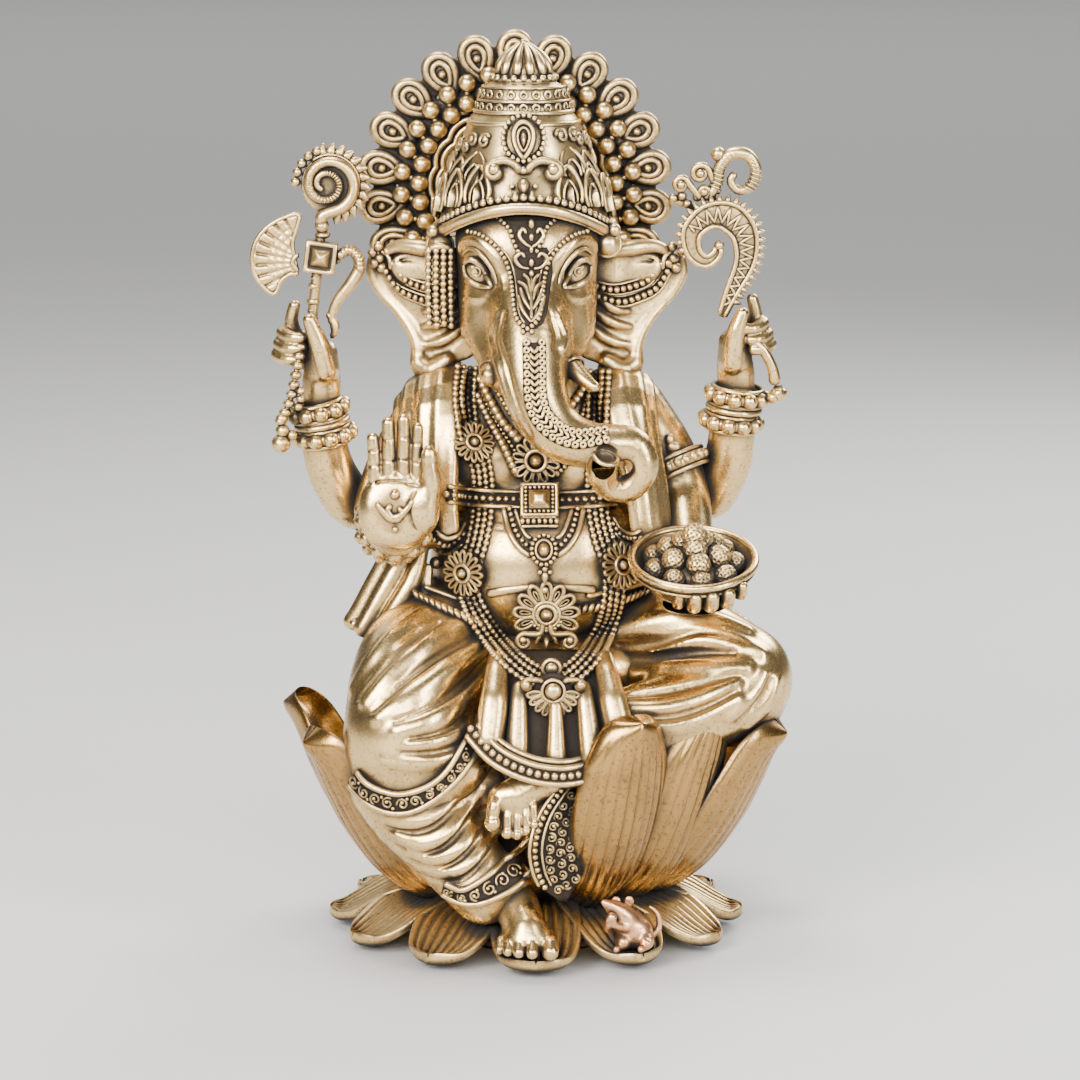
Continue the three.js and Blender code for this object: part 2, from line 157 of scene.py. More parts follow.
def join(*shells):
    corners, quads, tris, start = [], [], [], 0
    for s in shells:
        corners.append(s.corners)
        quads.append(s.quads + start)
        tris.append(s.tris + start)
        start += len(s.corners)
    return Shell(np.vstack(corners), np.vstack(quads), np.vstack(tris))


def loft(rings, closed=False):
    """A shell over closed rings of equal counts. Its ends are capped unless the rings close on themselves."""
    rings = np.asarray(rings, float)
    n, m = rings.shape[:2]
    grid = np.arange(n * m).reshape(n, m)
    nxt = np.roll(grid, -1, 1)
    if closed:
        a, b = grid, nxt
        c, d = np.roll(nxt, -1, 0), np.roll(grid, -1, 0)
    else:
        a, b, c, d = grid[:-1], nxt[:-1], nxt[1:], grid[1:]
    quads = np.stack([a, b, c, d], -1).reshape(-1, 4)
    corners = rings.reshape(-1, 3)
    if closed:
        return Shell(corners, quads)
    ends = np.stack([rings[0].mean(0), rings[-1].mean(0)])
    corners = np.vstack([corners, ends])
    first = np.stack([nxt[0], grid[0], np.full(m, n * m)], -1)
    last = np.stack([grid[-1], nxt[-1], np.full(m, n * m + 1)], -1)
    return Shell(corners, quads, np.vstack([first, last]))


def tube(points, radius, sides=8, closed=False, flat=1.0, up=None):
    """A round bar along points. radius is one value, one for each point, or a few spread along it, and flat
    squeezes the bar across its second side."""
    p = np.asarray(points, float)
    r = np.asarray(radius) if np.size(radius) == len(p) else spread(radius, len(p))
    _, side, other = frames_along(p, closed, up)
    turn = np.arange(sides) * TURN / sides
    ring = np.cos(turn)[None, :, None] * side[:, None] + np.sin(turn)[None, :, None] * other[:, None] * flat
    return loft(p[:, None] + r[:, None, None] * ring, closed)


def rod(points, radius, step=0.5, sides=8, flat=1.0, up=None):
    """A bar along a smooth curve through a few points, with round ends."""
    count = max(int(path_length(points) / step), 6)
    p = spline(points, count)
    r = spread(radius, count)
    from_end = np.minimum(np.arange(count), np.arange(count)[::-1]) * path_length(p) / count
    round_end = np.sqrt(np.clip(1 - (1 - np.clip(from_end / np.maximum(r, 1e-3), 0, 1)) ** 2, 0.02, 1))
    return tube(p, r * round_end, sides, flat=flat, up=up)


def circle(centre, normal, radius, steps=48, up=(0, 0, 1)):
    """Points evenly round a circle, starting beside up."""
    n = unit(normal)
    across = unit(np.cross(n, up))
    rise = np.cross(across, n)
    t = np.arange(steps) * TURN / steps
    return np.asarray(centre) + radius * (np.cos(t)[:, None] * across + np.sin(t)[:, None] * rise)


def hoop(centre, normal, radius, thick, sides=8, steps=48, up=(0, 0, 1)):
    """A closed ring of round bar."""
    return tube(circle(centre, normal, radius, steps, up), thick, sides, closed=True)


def lathe(profile, sides=64, centre=(0, 0, 0)):
    """A profile of [radius, height] turned about an upright axis."""
    p = np.asarray(profile, float)
    t = np.arange(sides) * TURN / sides
    ring = np.stack([np.cos(t), np.sin(t)], 1)
    heights = np.broadcast_to(p[:, None, 1:], (len(p), sides, 1))
    rings = np.concatenate([p[:, None, :1] * ring[None], heights], 2)
    return loft(rings + np.asarray(centre, float))


def globe(detail=1):
    """A unit ball of latitude rings."""
    sides, rings = [(8, 5), (10, 7), (16, 11), (28, 19)][detail]
    lat = np.linspace(-math.pi / 2, math.pi / 2, rings + 1)[1:-1]
    return lathe(np.stack([np.cos(lat), np.sin(lat)], 1), sides)


GLOBES = [globe(i) for i in range(4)]
for _globe in GLOBES:  # the middles of the end caps move out to the poles
    _globe.corners[-2] = (0, 0, -1)
    _globe.corners[-1] = (0, 0, 1)


def ball(place, size, detail=2):
    """A ball at a place, of one radius or three."""
    return GLOBES[detail].scaled(size).moved(place)


def copies(shell, places, sizes=1.0):
    """The shell repeated at each place, at one size or a size for each."""
    places = np.asarray(places, float).reshape(-1, 3)
    n, m = len(places), len(shell.corners)
    sizes = np.broadcast_to(np.asarray(sizes, float), (n,))
    corners = shell.corners[None] * sizes[:, None, None] + places[:, None]
    shift = (np.arange(n) * m)[:, None, None]
    return Shell(corners.reshape(-1, 3), (shell.quads[None] + shift).reshape(-1, 4),
                 (shell.tris[None] + shift).reshape(-1, 3))


def beads(places, radius, detail=1):
    return copies(GLOBES[detail], places, radius)


def bead_row(points, radius, gap=1.0, detail=1, closed=False):
    """Round beads of one radius side by side along a curve. gap spaces them out."""
    p = np.asarray(points, float)
    if closed:
        p = np.vstack([p, p[:1]])
    count = max(int(round(path_length(p) / (2 * radius * gap))), 2)
    places = along(p, count + 1)
    return beads(places[:-1] if closed else places, radius, detail)


# ---- Clay: shapes built up from distances on a grid ------------------------------------------
def soft_min(a, b, k):
    if k <= 0:
        return np.minimum(a, b)
    h = np.clip(0.5 + 0.5 * (b - a) / k, 0, 1)
    return b + (a - b) * h - k * h * (1 - h)


class Clay:
    """A lump of clay: ball, bar and sheet add to it, or take away with dig, and k rounds where they meet."""

    def __init__(self, low, high, cell=0.4):
        self.cell = cell
        self.low = np.asarray(low, float)
        counts = np.ceil((np.asarray(high, float) - self.low) / cell).astype(int) + 1
        self.field = np.full(counts, FAR, np.float32)
        self.axes = [(self.low[i] + cell * np.arange(counts[i])).astype(np.float32) for i in range(3)]

    def window(self, low, high, room):
        """The part of the grid within room of a box, as slices and as x, y and z."""
        cuts = []
        for i in range(3):
            first = int(math.floor((low[i] - room - self.low[i]) / self.cell))
            last = int(math.ceil((high[i] + room - self.low[i]) / self.cell)) + 1
            first, last = np.clip((first, last), 0, self.field.shape[i])
            cuts.append(slice(int(first), int(last)))
        x, y, z = (self.axes[i][cuts[i]] for i in range(3))
        return tuple(cuts), (x[:, None, None], y[None, :, None], z[None, None, :])

    def merge(self, cuts, distance, k, dig):
        """Adds a shape, given as distances from it, or digs it out."""
        old = self.field[cuts]
        if dig:
            self.field[cuts] = -soft_min(-old, distance, k)
        else:
            self.field[cuts] = soft_min(old, distance, k)

    def ball(self, centre, radii, k=1.0, axes=None, dig=False):
        """An ellipsoid, whose own directions may be the rows of axes."""
        c = np.asarray(centre, float)
        r = np.broadcast_to(np.asarray(radii, float), (3,))
        reach = r if axes is None else np.full(3, r.max())
        cuts, (x, y, z) = self.window(c - reach, c + reach, k + 3 * self.cell)
        d = [x - c[0], y - c[1], z - c[2]]
        if axes is not None:
            axes = unit(axes)
            d = [d[0] * a[0] + d[1] * a[1] + d[2] * a[2] for a in axes]
        near = np.sqrt(sum((d[i] / r[i]) ** 2 for i in range(3)))
        steep = np.sqrt(sum((d[i] / r[i] ** 2) ** 2 for i in range(3)))
        self.merge(cuts, near * (near - 1) / np.maximum(steep, 1e-6), k, dig)
        return self

    def bar(self, points, radii, k=1.0, flat=None, dig=False, fine=3):
        """A round bar along a smooth curve. flat is (direction, ratio): the bar is thinner that way."""
        count = max((len(points) - 1) * fine + 1, 2)
        p = spline(points, count)
        r = spread(radii, count)
        reach = r.max()
        cuts, (x, y, z) = self.window(p.min(0), p.max(0), reach + k + 3 * self.cell)
        best = np.full(self.field[cuts].shape, FAR, np.float32)
        base = [c.start for c in cuts]
        if flat is not None:
            way, ratio = unit(flat[0]), flat[1]
        for i in range(count - 1):
            room = max(r[i], r[i + 1]) + k + 3 * self.cell
            sub, (x, y, z) = self.window(np.minimum(p[i], p[i + 1]), np.maximum(p[i], p[i + 1]), room)
            local = tuple(slice(s.start - b, s.stop - b) for s, b in zip(sub, base))
            a, step = p[i], p[i + 1] - p[i]
            d = [x - a[0], y - a[1], z - a[2]]
            t = np.clip((d[0] * step[0] + d[1] * step[1] + d[2] * step[2]) / max(step.dot(step), 1e-9), 0, 1)
            off = [d[j] - t * step[j] for j in range(3)]
            if flat is not None:
                deep = off[0] * way[0] + off[1] * way[1] + off[2] * way[2]
                off = [off[j] + deep * way[j] * (1 / ratio - 1) for j in range(3)]
            distance = np.sqrt(off[0] ** 2 + off[1] ** 2 + off[2] ** 2) - (r[i] + t * (r[i + 1] - r[i]))
            if flat is not None:
                distance = distance * min(1.0, ratio * 1.5)
            best[local] = np.minimum(best[local], distance)
        self.merge(cuts, best, k, dig)
        return self

    def sheet(self, outline, middle, thick, k=0.6, edge=0.8, dig=False):
        """A plate of the outline given as [x, z], whose middle lies at y = middle(x, z)."""
        o = np.asarray(outline, float)
        low = np.array([o[:, 0].min(), self.axes[1][0], o[:, 1].min()])
        high = np.array([o[:, 0].max(), self.axes[1][-1], o[:, 1].max()])
        cuts, (x, y, z) = self.window(low, high, thick + k + 3 * self.cell)
        px, pz = np.broadcast_arrays(x[:, 0, :], z[0])
        best = np.full(px.shape, FAR)
        within = np.zeros(px.shape, bool)
        for a, b in zip(o, np.roll(o, -1, 0)):
            e = b - a
            t = np.clip(((px - a[0]) * e[0] + (pz - a[1]) * e[1]) / max(e.dot(e), 1e-9), 0, 1)
            best = np.minimum(best, np.hypot(px - a[0] - t * e[0], pz - a[1] - t * e[1]))
            crosses = (a[1] > pz) != (b[1] > pz)
            within ^= crosses & (px < a[0] + (pz - a[1]) * e[0] / (e[1] if abs(e[1]) > 1e-9 else 1e-9))
        flat = np.where(within, -best, best)[:, None, :] + edge
        deep = np.abs(y - (middle(x, z) if callable(middle) else middle)) - thick / 2 + edge
        distance = np.sqrt(np.maximum(flat, 0) ** 2 + np.maximum(deep, 0) ** 2) - edge + np.minimum(
            np.maximum(flat, deep), 0)
        self.merge(cuts, distance.astype(np.float32), k, dig)
        return self

    def skin(self, smooth=1):
        """The surface as a shell of quads, one corner to each grid cell that it passes through."""
        f = self.field
        inside = f < 0
        n = np.array(f.shape) - 1
        count = np.zeros(n, np.int8)
        place = np.zeros((*n, 3), np.float32)
        hits = np.zeros(n, np.int8)
        steps = [(i, j, k) for i in (0, 1) for j in (0, 1) for k in (0, 1)]

        def part(a, o):
            return a[o[0]:o[0] + n[0], o[1]:o[1] + n[1], o[2]:o[2] + n[2]]

        for o in steps:
            count += part(inside, o)
        mixed = (count > 0) & (count < 8)
        for axis in range(3):
            for o in steps:
                if o[axis]:
                    continue
                e = tuple(v + (i == axis) for i, v in enumerate(o))
                d0, d1 = part(f, o)[mixed], part(f, e)[mixed]
                cross = (d0 < 0) != (d1 < 0)
                t = np.where(cross, d0 / np.where(cross, d0 - d1, 1), 0)
                where = np.stack([t if i == axis else np.full_like(t, o[i]) for i in range(3)], -1)
                place[mixed] += np.where(cross[:, None], where, 0)
                hits[mixed] += cross
        number = np.full(n, -1, np.int64)
        number[mixed] = np.arange(mixed.sum())
        cell_at = np.argwhere(mixed)
        corners = self.low + self.cell * (cell_at + place[mixed] / hits[mixed][:, None])
        quads = []
        for axis in range(3):
            u, v = (axis + 1) % 3, (axis + 2) % 3
            first = np.take(inside, range(n[axis]), axis)
            second = np.take(inside, range(1, n[axis] + 1), axis)
            for flip in (False, True):
                at = np.argwhere((second & ~first) if flip else (first & ~second))
                at = at[(at[:, u] > 0) & (at[:, v] > 0) & (at[:, u] < n[u]) & (at[:, v] < n[v])]
                ring = []
                for du, dv in ((-1, -1), (0, -1), (0, 0), (-1, 0)):
                    c = at.copy()
                    c[:, u] += du
                    c[:, v] += dv
                    ring.append(number[c[:, 0], c[:, 1], c[:, 2]])
                quad = np.stack(ring, -1)
                quads.append(quad[:, ::-1] if flip else quad)
        quads = np.vstack(quads)
        for _ in range(smooth):
            total = np.zeros_like(corners)
            times = np.zeros(len(corners))
            for i in range(4):
                a, b = quads[:, i], quads[:, (i + 1) % 4]
                for j in range(3):
                    total[:, j] += np.bincount(a, corners[b, j], len(corners))
                times += np.bincount(a, minlength=len(corners))
            corners = 0.5 * corners + 0.5 * total / np.maximum(times, 1)[:, None]
        return Shell(corners, quads)


# ---- Places seen from the front --------------------------------------------------------------
# Detail on the front is placed as it is seen from a little above: [x, rise] in millimetres, where
# rise is the height in a view that looks down by TILT.
TILT = math.radians(10)
LOOK = np.array([0, math.cos(TILT), -math.sin(TILT)])
RISE = np.array([0, math.sin(TILT), math.cos(TILT)])


def from_view(x, rise, depth):
    """The point in space at [x, rise] and at a depth along the view."""
    x, rise, depth = (np.asarray(v, float)[..., None] for v in np.broadcast_arrays(x, rise, depth))
    return x * np.array([1.0, 0, 0]) + rise * RISE + depth * LOOK


def held(x, rise, y):
    """The point in space at [x, rise] whose own y is given."""
    return np.array([x, y, (rise - y * RISE[1]) / RISE[2]])


def held_line(places):
    """Points in space at [x, rise, y] places."""
    return np.array([held(*place) for place in places])


def upright(places, y, count=None):
    """Points in space at [x, rise] places on the upright plane at y, or a smooth curve of count points."""
    p = np.asarray(places, float)
    if count:
        p = spline(p, count)
    return np.stack([p[:, 0], np.full(len(p), y), (p[:, 1] - y * RISE[1]) / RISE[2]], 1)


def onto(clay, places):
    """Points on the front of a lump of clay, at places given as [x, rise]."""
    places = np.asarray(places, float)
    depth = np.arange(-75, 60, clay.cell * 0.5)
    p = from_view(places[:, :1], places[:, 1:2], depth[None])
    at = (p - clay.low) / clay.cell
    cell = np.clip(np.rint(at).astype(int), 0, np.array(clay.field.shape) - 1)
    inside = np.all((at >= 0) & (at <= np.array(clay.field.shape) - 1), -1)
    hit = inside & (clay.field[cell[..., 0], cell[..., 1], cell[..., 2]] < 0)
    first = np.where(hit.any(1), hit.argmax(1), -1)
    found = np.where(first >= 0, depth[first], np.nan)
    known = np.flatnonzero(~np.isnan(found))
    found = np.interp(np.arange(len(found)), known, found[known])
    return from_view(places[:, 0], places[:, 1], found)


def fold(clay, places, radius, sink=0.5, k=1.2, dig=False):
    """A ridge, or with dig a groove, along places on the front of the clay. sink is how much is buried."""
    line = spline(places, max(2 * len(places), 5))
    p = relaxed(onto(clay, line))
    r = spread(radius, len(p))
    clay.bar(p + LOOK * (r * sink)[:, None], r, k=k, dig=dig, fine=2)
    return clay


class Relief:
    """How deep the front of everything modelled so far lies, on a grid over [x, rise]."""

    def __init__(self, low=(-56, -10), high=(52, 172), cell=0.5):
        self.low, self.cell = np.array(low, float), cell
        counts = np.ceil((np.array(high) - self.low) / cell).astype(int) + 1
        self.depth = np.full(counts, np.inf)

    def add(self, *shells):
        """Marks how deep the shells lie, at their corners and inside their larger faces."""
        for s in shells:
            self.mark(s.corners)
            q = s.corners[s.quads]
            span = np.linalg.norm(q - np.roll(q, -1, 1), axis=2).max(1)
            for low, high, steps in ((self.cell, 3 * self.cell, 3), (3 * self.cell, 99, 9)):
                big = q[(span > low) & (span <= high)]
                for u in np.linspace(0, 1, steps):
                    for v in np.linspace(0, 1, steps):
                        side = big[:, 0] * (1 - u) + big[:, 1] * u, big[:, 3] * (1 - u) + big[:, 2] * u
                        self.mark(side[0] * (1 - v) + side[1] * v)
        return self

    def mark(self, p):
        """Keeps the nearest depth to the eye in each cell."""
        at = np.rint((np.stack([p[:, 0], p @ RISE], 1) - self.low) / self.cell).astype(int)
        ok = np.all((at >= 0) & (at < self.depth.shape), 1)
        np.minimum.at(self.depth, (at[ok, 0], at[ok, 1]), (p @ LOOK)[ok])

    def filled(self):
        """The depths, with small gaps closed from their neighbours."""
        d = self.depth
        for _ in range(3):
            padded = np.pad(d, 1, constant_values=np.inf)
            near = np.stack([padded[1 + i:padded.shape[0] - 1 + i, 1 + j:padded.shape[1] - 1 + j]
                             for i in (-1, 0, 1) for j in (-1, 0, 1)])
            d = np.where(np.isinf(d), near.min(0), d)
        return d

    def on(self, places, lift=0.0, smooth=0):
        """Points on the front at [x, rise], brought towards the eye by lift."""
        places = np.atleast_2d(np.asarray(places, float))
        d = self.filled()
        at = np.clip(np.rint((places - self.low) / self.cell).astype(int), 0, np.array(d.shape) - 1)
        depth = d[at[:, 0], at[:, 1]]
        known = np.flatnonzero(np.isfinite(depth))
        depth = np.interp(np.arange(len(depth)), known, depth[known])
        for _ in range(smooth):
            wide = np.pad(depth, 1, mode="edge")
            depth = np.minimum(depth, (wide[:-2] + wide[1:-1] + wide[2:]) / 3)
            wide = np.pad(depth, 1, mode="edge")
            depth = (wide[:-2] + 2 * wide[1:-1] + wide[2:]) / 4
        return from_view(places[:, 0], places[:, 1], depth - lift)

    def normals(self, places, reach=2.0, smooth=2):
        """Directions out of the front at places."""
        p = np.atleast_2d(np.asarray(places, float))
        across = self.on(p + [reach, 0], smooth=smooth) - self.on(p - [reach, 0], smooth=smooth)
        up = self.on(p + [0, reach], smooth=smooth) - self.on(p - [0, reach], smooth=smooth)
        out = unit(np.cross(across, up))
        for _ in range(4 if len(p) > 3 else 0):
            wide = np.pad(out, ((1, 1), (0, 0)), mode="edge")
            out = unit(wide[:-2] + 2 * wide[1:-1] + wide[2:])
        return out

    def facing(self, place, reach=2.5):
        """Axes for an ornament that lies on the surface at a place: its X, Y (inwards) and Z."""
        x, r = place
        p = self.on([[x - reach, r], [x + reach, r], [x, r - reach], [x, r + reach]])
        along_x, along_z = unit(p[1] - p[0]), unit(p[3] - p[2])
        inward = unit(np.cross(along_z, along_x))
        right = unit(np.cross(inward, along_z))
        return np.stack([right, inward, np.cross(right, inward)])


# ---- Materials -------------------------------------------------------------------------------
def brass(name, bright, mid, rough, grain=1.0, cavity=3.4, metal=1.0):
    """Cast brass: bright where it is rubbed, a brown patina and painted shade in the hollows, and small pits
    and scratches.
    """
    material = bpy.data.materials.new(name)
    material.use_nodes = True
    tree = material.node_tree
    nodes, links = tree.nodes, tree.links
    shader = nodes["Principled BSDF"]

    def node(kind, **values):
        made = nodes.new(kind)
        for key, value in values.items():
            if key in made.inputs:
                made.inputs[key].default_value = value
            else:
                setattr(made, key, value)
        return made

    def ramp(source, *stops):
        made = node("ShaderNodeValToRGB")
        elements = made.color_ramp.elements
        for element, (place, colour) in zip(elements, (stops[0], stops[-1])):
            element.position = place
            element.color = (*colour, 1)
        for place, colour in stops[1:-1]:
            elements.new(place).color = (*colour, 1)
        links.new(source, made.inputs[0])
        return made.outputs[0]

    def math_node(operation, a, b):
        made = node("ShaderNodeMath", operation=operation, use_clamp=operation != "ADD")
        for i, value in enumerate((a, b)):
            if isinstance(value, (int, float)):
                made.inputs[i].default_value = value
            else:
                links.new(value, made.inputs[i])
        return made.outputs[0]

    def grey(v):
        return (v, v, v)

    place = node("ShaderNodeTexCoord").outputs["Object"]
    cloud = node("ShaderNodeTexNoise", Scale=130.0, Detail=4.0, Roughness=0.6)
    fine = node("ShaderNodeTexNoise", Scale=1500.0, Detail=3.0, Roughness=0.65)
    pits = node("ShaderNodeTexVoronoi", Scale=900.0)
    stretch = node("ShaderNodeMapping")
    stretch.inputs["Scale"].default_value = (2600.0, 2600.0, 260.0)
    stretch.inputs["Rotation"].default_value = (0.3, 0.5, 0.2)
    scratch = node("ShaderNodeTexNoise", Scale=1.0, Detail=2.0)
    for texture in (cloud, fine, pits):
        links.new(place, texture.inputs["Vector"])
    links.new(place, stretch.inputs["Vector"])
    links.new(stretch.outputs[0], scratch.inputs["Vector"])

    # ambient occlusion finds the hollows and the places where parts meet; the darkening there is partly
    # patina and partly painted shade
    hollow = node("ShaderNodeAmbientOcclusion", samples=6)
    hollow.inputs["Distance"].default_value = cavity * MM
    ridge = node("ShaderNodeNewGeometry").outputs["Pointiness"]
    clear_of_patina_and_shade = ramp(hollow.outputs["AO"], (0.46, grey(0)), (0.74, grey(0.40)), (0.95, grey(1)))
    worn = ramp(ridge, (0.40, grey(0)), (0.5, grey(0.5)), (0.58, grey(1)))
    stain = ramp(cloud.outputs["Fac"], (0.3, grey(0.0)), (0.7, grey(1)))
    specks = ramp(fine.outputs["Fac"], (0.33, grey(0)), (0.47, grey(1)))
    # the mask for the colour: low in the hollows (patina and painted shade) and in specks and stains, high on
    # worn ridges
    clean_and_unshaded = math_node("MULTIPLY", clear_of_patina_and_shade, math_node("ADD", math_node("MULTIPLY", worn, 0.7), 0.62))
    clean_and_unshaded = math_node("MULTIPLY", clean_and_unshaded, math_node("ADD", math_node("MULTIPLY", specks, 0.35), 0.65))
    clean_and_unshaded = math_node("MULTIPLY", clean_and_unshaded, math_node("ADD", math_node("MULTIPLY", stain, 0.3), 0.8))
    shade = tuple(min(s, m) for s, m in zip(SHADE, mid))
    colour = ramp(clean_and_unshaded, (0.0, PATINA_AND_SHADE), (0.14, PATINA_AND_SHADE), (0.36, shade), (0.60, mid), (0.92, bright))
    links.new(colour, shader.inputs["Base Color"])
    metallic = ramp(clean_and_unshaded, (0.0, grey(0.3)), (0.5, grey(0.95 * metal)), (1.0, grey(metal)))
    links.new(metallic, shader.inputs["Metallic"])
    gloss = math_node("ADD", ramp(clean_and_unshaded, (0.0, grey(0.75)), (0.5, grey(rough + 0.14)), (1.0, grey(rough))),
                      math_node("MULTIPLY", stain, 0.06))
    links.new(gloss, shader.inputs["Roughness"])

    dents = ramp(pits.outputs["Distance"], (0.0, grey(0)), (0.25, grey(1)))
    grains, marks = math_node("MULTIPLY", fine.outputs["Fac"], 0.5), math_node("MULTIPLY", dents, 0.25)
    height = math_node("ADD", math_node("ADD", grains, marks),
                       math_node("MULTIPLY", scratch.outputs["Fac"], 0.3))
    bump = node("ShaderNodeBump", Strength=0.32 * grain, Distance=0.09 * MM)
    links.new(height, bump.inputs["Height"])
    links.new(bump.outputs[0], shader.inputs["Normal"])
    return material


# the colours of the hollows, deepest first and then halfway to the middle colour: partly the brass's own dark
# patina, partly painted shade
PATINA_AND_SHADE = (0.014, 0.011, 0.009)
SHADE = (0.11, 0.075, 0.038)
# each brass: its rubbed colour, its middle colour, its roughness, and how strong its grain and how far the
# patina and painted shade of its hollows reach where they aren't usual
MATERIALS = {
    "polished_brass": brass("polished_brass", (0.80, 0.56, 0.24), (0.44, 0.285, 0.105), 0.20, 0.8),
    "antique_brass": brass("antique_brass", (0.76, 0.54, 0.24), (0.38, 0.25, 0.095), 0.26),
    "coppery_brass": brass("coppery_brass", (0.84, 0.46, 0.24), (0.46, 0.22, 0.095), 0.27),
    # the cup petals: a darker, more orange copy of the brass, as painted shade and a painted reflection of
    # dark, warm surroundings
    "petal_brass_painted_shade_reflection": brass("petal_brass_painted_shade_reflection", (0.43, 0.25, 0.08), (0.22, 0.125, 0.042), 0.17, 0.8, 3.2),
    # the halo and crown: a brighter copy of the brass whose hollows darken less, as painted light where they
    # get less lamp light
    "halo_brass_painted_light": brass("halo_brass_painted_light", (0.84, 0.61, 0.28), (0.50, 0.34, 0.14), 0.24, 0.8, 2.0),
    "dark_patina": brass("dark_patina", (0.036, 0.026, 0.017), (0.018, 0.013, 0.01), 0.55, metal=0.35),
}
MATERIALS["dark_patina"].node_tree.nodes["Principled BSDF"].inputs["Specular IOR Level"].default_value = 0.12


# ---- Pieces ----------------------------------------------------------------------------------
def piece(name, shell, slot="antique_brass", nodes=(), look=None):
    """Writes a shell as a Blender object that rides on the one body and stands for the named CAD nodes.
    look is the material where it isn't the slot's own."""
    mesh = bpy.data.meshes.new(name)
    sizes = np.concatenate([np.full(len(shell.quads), 4), np.full(len(shell.tris), 3)])
    corners = np.concatenate([shell.quads.ravel(), shell.tris.ravel()])
    mesh.vertices.add(len(shell.corners))
    mesh.vertices.foreach_set("co", (shell.corners * MM).astype(np.float32).ravel())
    mesh.loops.add(len(corners))
    mesh.loops.foreach_set("vertex_index", corners.astype(np.int32))
    mesh.polygons.add(len(sizes))
    mesh.polygons.foreach_set("loop_start", np.concatenate([[0], np.cumsum(sizes)[:-1]]).astype(np.int32))
    mesh.polygons.foreach_set("use_smooth", np.full(len(sizes), True))
    mesh.update(calc_edges=True)
    mesh.validate()
    made = bpy.data.objects.new(name, mesh)
    bpy.context.scene.collection.objects.link(made)
    mesh.materials.append(MATERIALS[look or slot])
    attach(made, "root")
    if nodes:
        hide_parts(*nodes)


def show(name, shell, *others, **settings):
    """A piece that ornaments made later can lie on."""
    piece(name, shell, *others, **settings)
    front.add(shell)


front = Relief()


# ---- Lotus -----------------------------------------------------------------------------------
FOOT_SPINE = [[14, 8.6], [20, 8.4], [27, 6.6], [33, 3.4], [36.2, 2.2], [38.9, 2.6]]
CUP_SPINE_UPRIGHT = [[16.5, 8.8], [24, 10.6], [31.5, 17], [36.6, 27], [39.2, 37], [40.2, 43.5], [40.9, 47]]
CUP_SPINE_OPEN = [[16.5, 8.8], [25, 10.4], [32.5, 15.6], [38.4, 23.5], [42.3, 31], [45.2, 37.2], [48.6, 41]]
# each petal of the cup: its angle from the front in degrees, half its width, and how far its tip leans
CUP_PETALS = [(25.5, 9.0, 1.2), (49, 10.8, 3.8), (70, 13.0, 0), (106, 11.4, 0), (136, 11.4, 0),
              (166, 11.4, 0), (196, 11.4, 0), (226, 11.4, 0), (258, 11.8, 0), (303, 11.4, -2.0)]


def petal(angle, spine, half, thick, cup, ribs, rib_height, rim=0.12, ribs_out=False, lean=0.0, fade=0.0):
    """A lotus petal: a sheet on a spine given as [distance from the axis, height], ribbed along one face
    inside a smooth rim. half is its half width, cup curls its long edges and lean skews its tip sideways."""
    a = math.radians(angle)
    steps, across = 60, 111
    u = 1 - (1 - np.linspace(0, 1, steps)) ** 1.6
    fine = spline(spine, 400)
    travel = np.linspace(0, 1, 400)
    line = np.stack([np.interp(u, travel, fine[:, i]) for i in (0, 1)], 1)
    wide = np.array([math.cos(a), math.sin(a), 0.0])
    centre = np.stack([line[:, 0] * math.sin(a), -line[:, 0] * math.cos(a), line[:, 1]], 1)
    centre = centre + wide * (lean * u[:, None] ** 3)
    tangent = unit(np.gradient(centre, axis=0))
    normal = unit(np.cross(tangent, wide))
    rings = []
    v = np.linspace(-1, 1, across)
    edge = np.sqrt(np.clip(1 - np.abs(v) ** 8, 0, 1))
    ridge = np.abs(np.cos(v * math.pi * ribs / 2)) ** 0.55
    for i in range(steps):
        width = half(u[i])
        body = thick * 0.5 * math.sqrt(max(1 - u[i] ** 20, 0.02))
        from_rim = np.clip((1 - np.abs(v)) / rim, 0, 1) * np.clip((1 - u[i]) / rim, 0, 1)
        inner = np.clip(1.4 * from_rim - 0.4, 0, 1)
        chased = rib_height * (1 - fade * u[i]) * (inner * (ridge - 1) + (1 - inner) * 0.3) * edge
        face = body * edge + (0 if ribs_out else chased)
        back = -body * edge - (chased if ribs_out else 0)
        curl = cup * (1 - 0.35 * u[i]) * v**2
        across_line = centre[i] + wide * (v * width)[:, None]
        top = across_line + normal[i] * (curl + face)[:, None]
        low = across_line + normal[i] * (curl + back)[:, None]
        rings.append(np.vstack([top, low[::-1][1:-1]]))
    return loft(rings)


def petal_half(widest, foot, swell, tip, sharp):
    """Half the width of a petal along its length u: foot * widest at first, full at swell, and closing to a
    tip that is round when sharp is 2 and pointed when it is 1."""
    def half(u):
        if u < swell:
            return widest * (foot + (1 - foot) * math.sin(u / swell * math.pi / 2))
        t = (u - swell) / (1 - swell)
        closing = max((1 - t**sharp) ** (1 / sharp if sharp >= 2 else 0.9), 0.0)
        return widest * closing * (1 - tip) + widest * tip
    return half


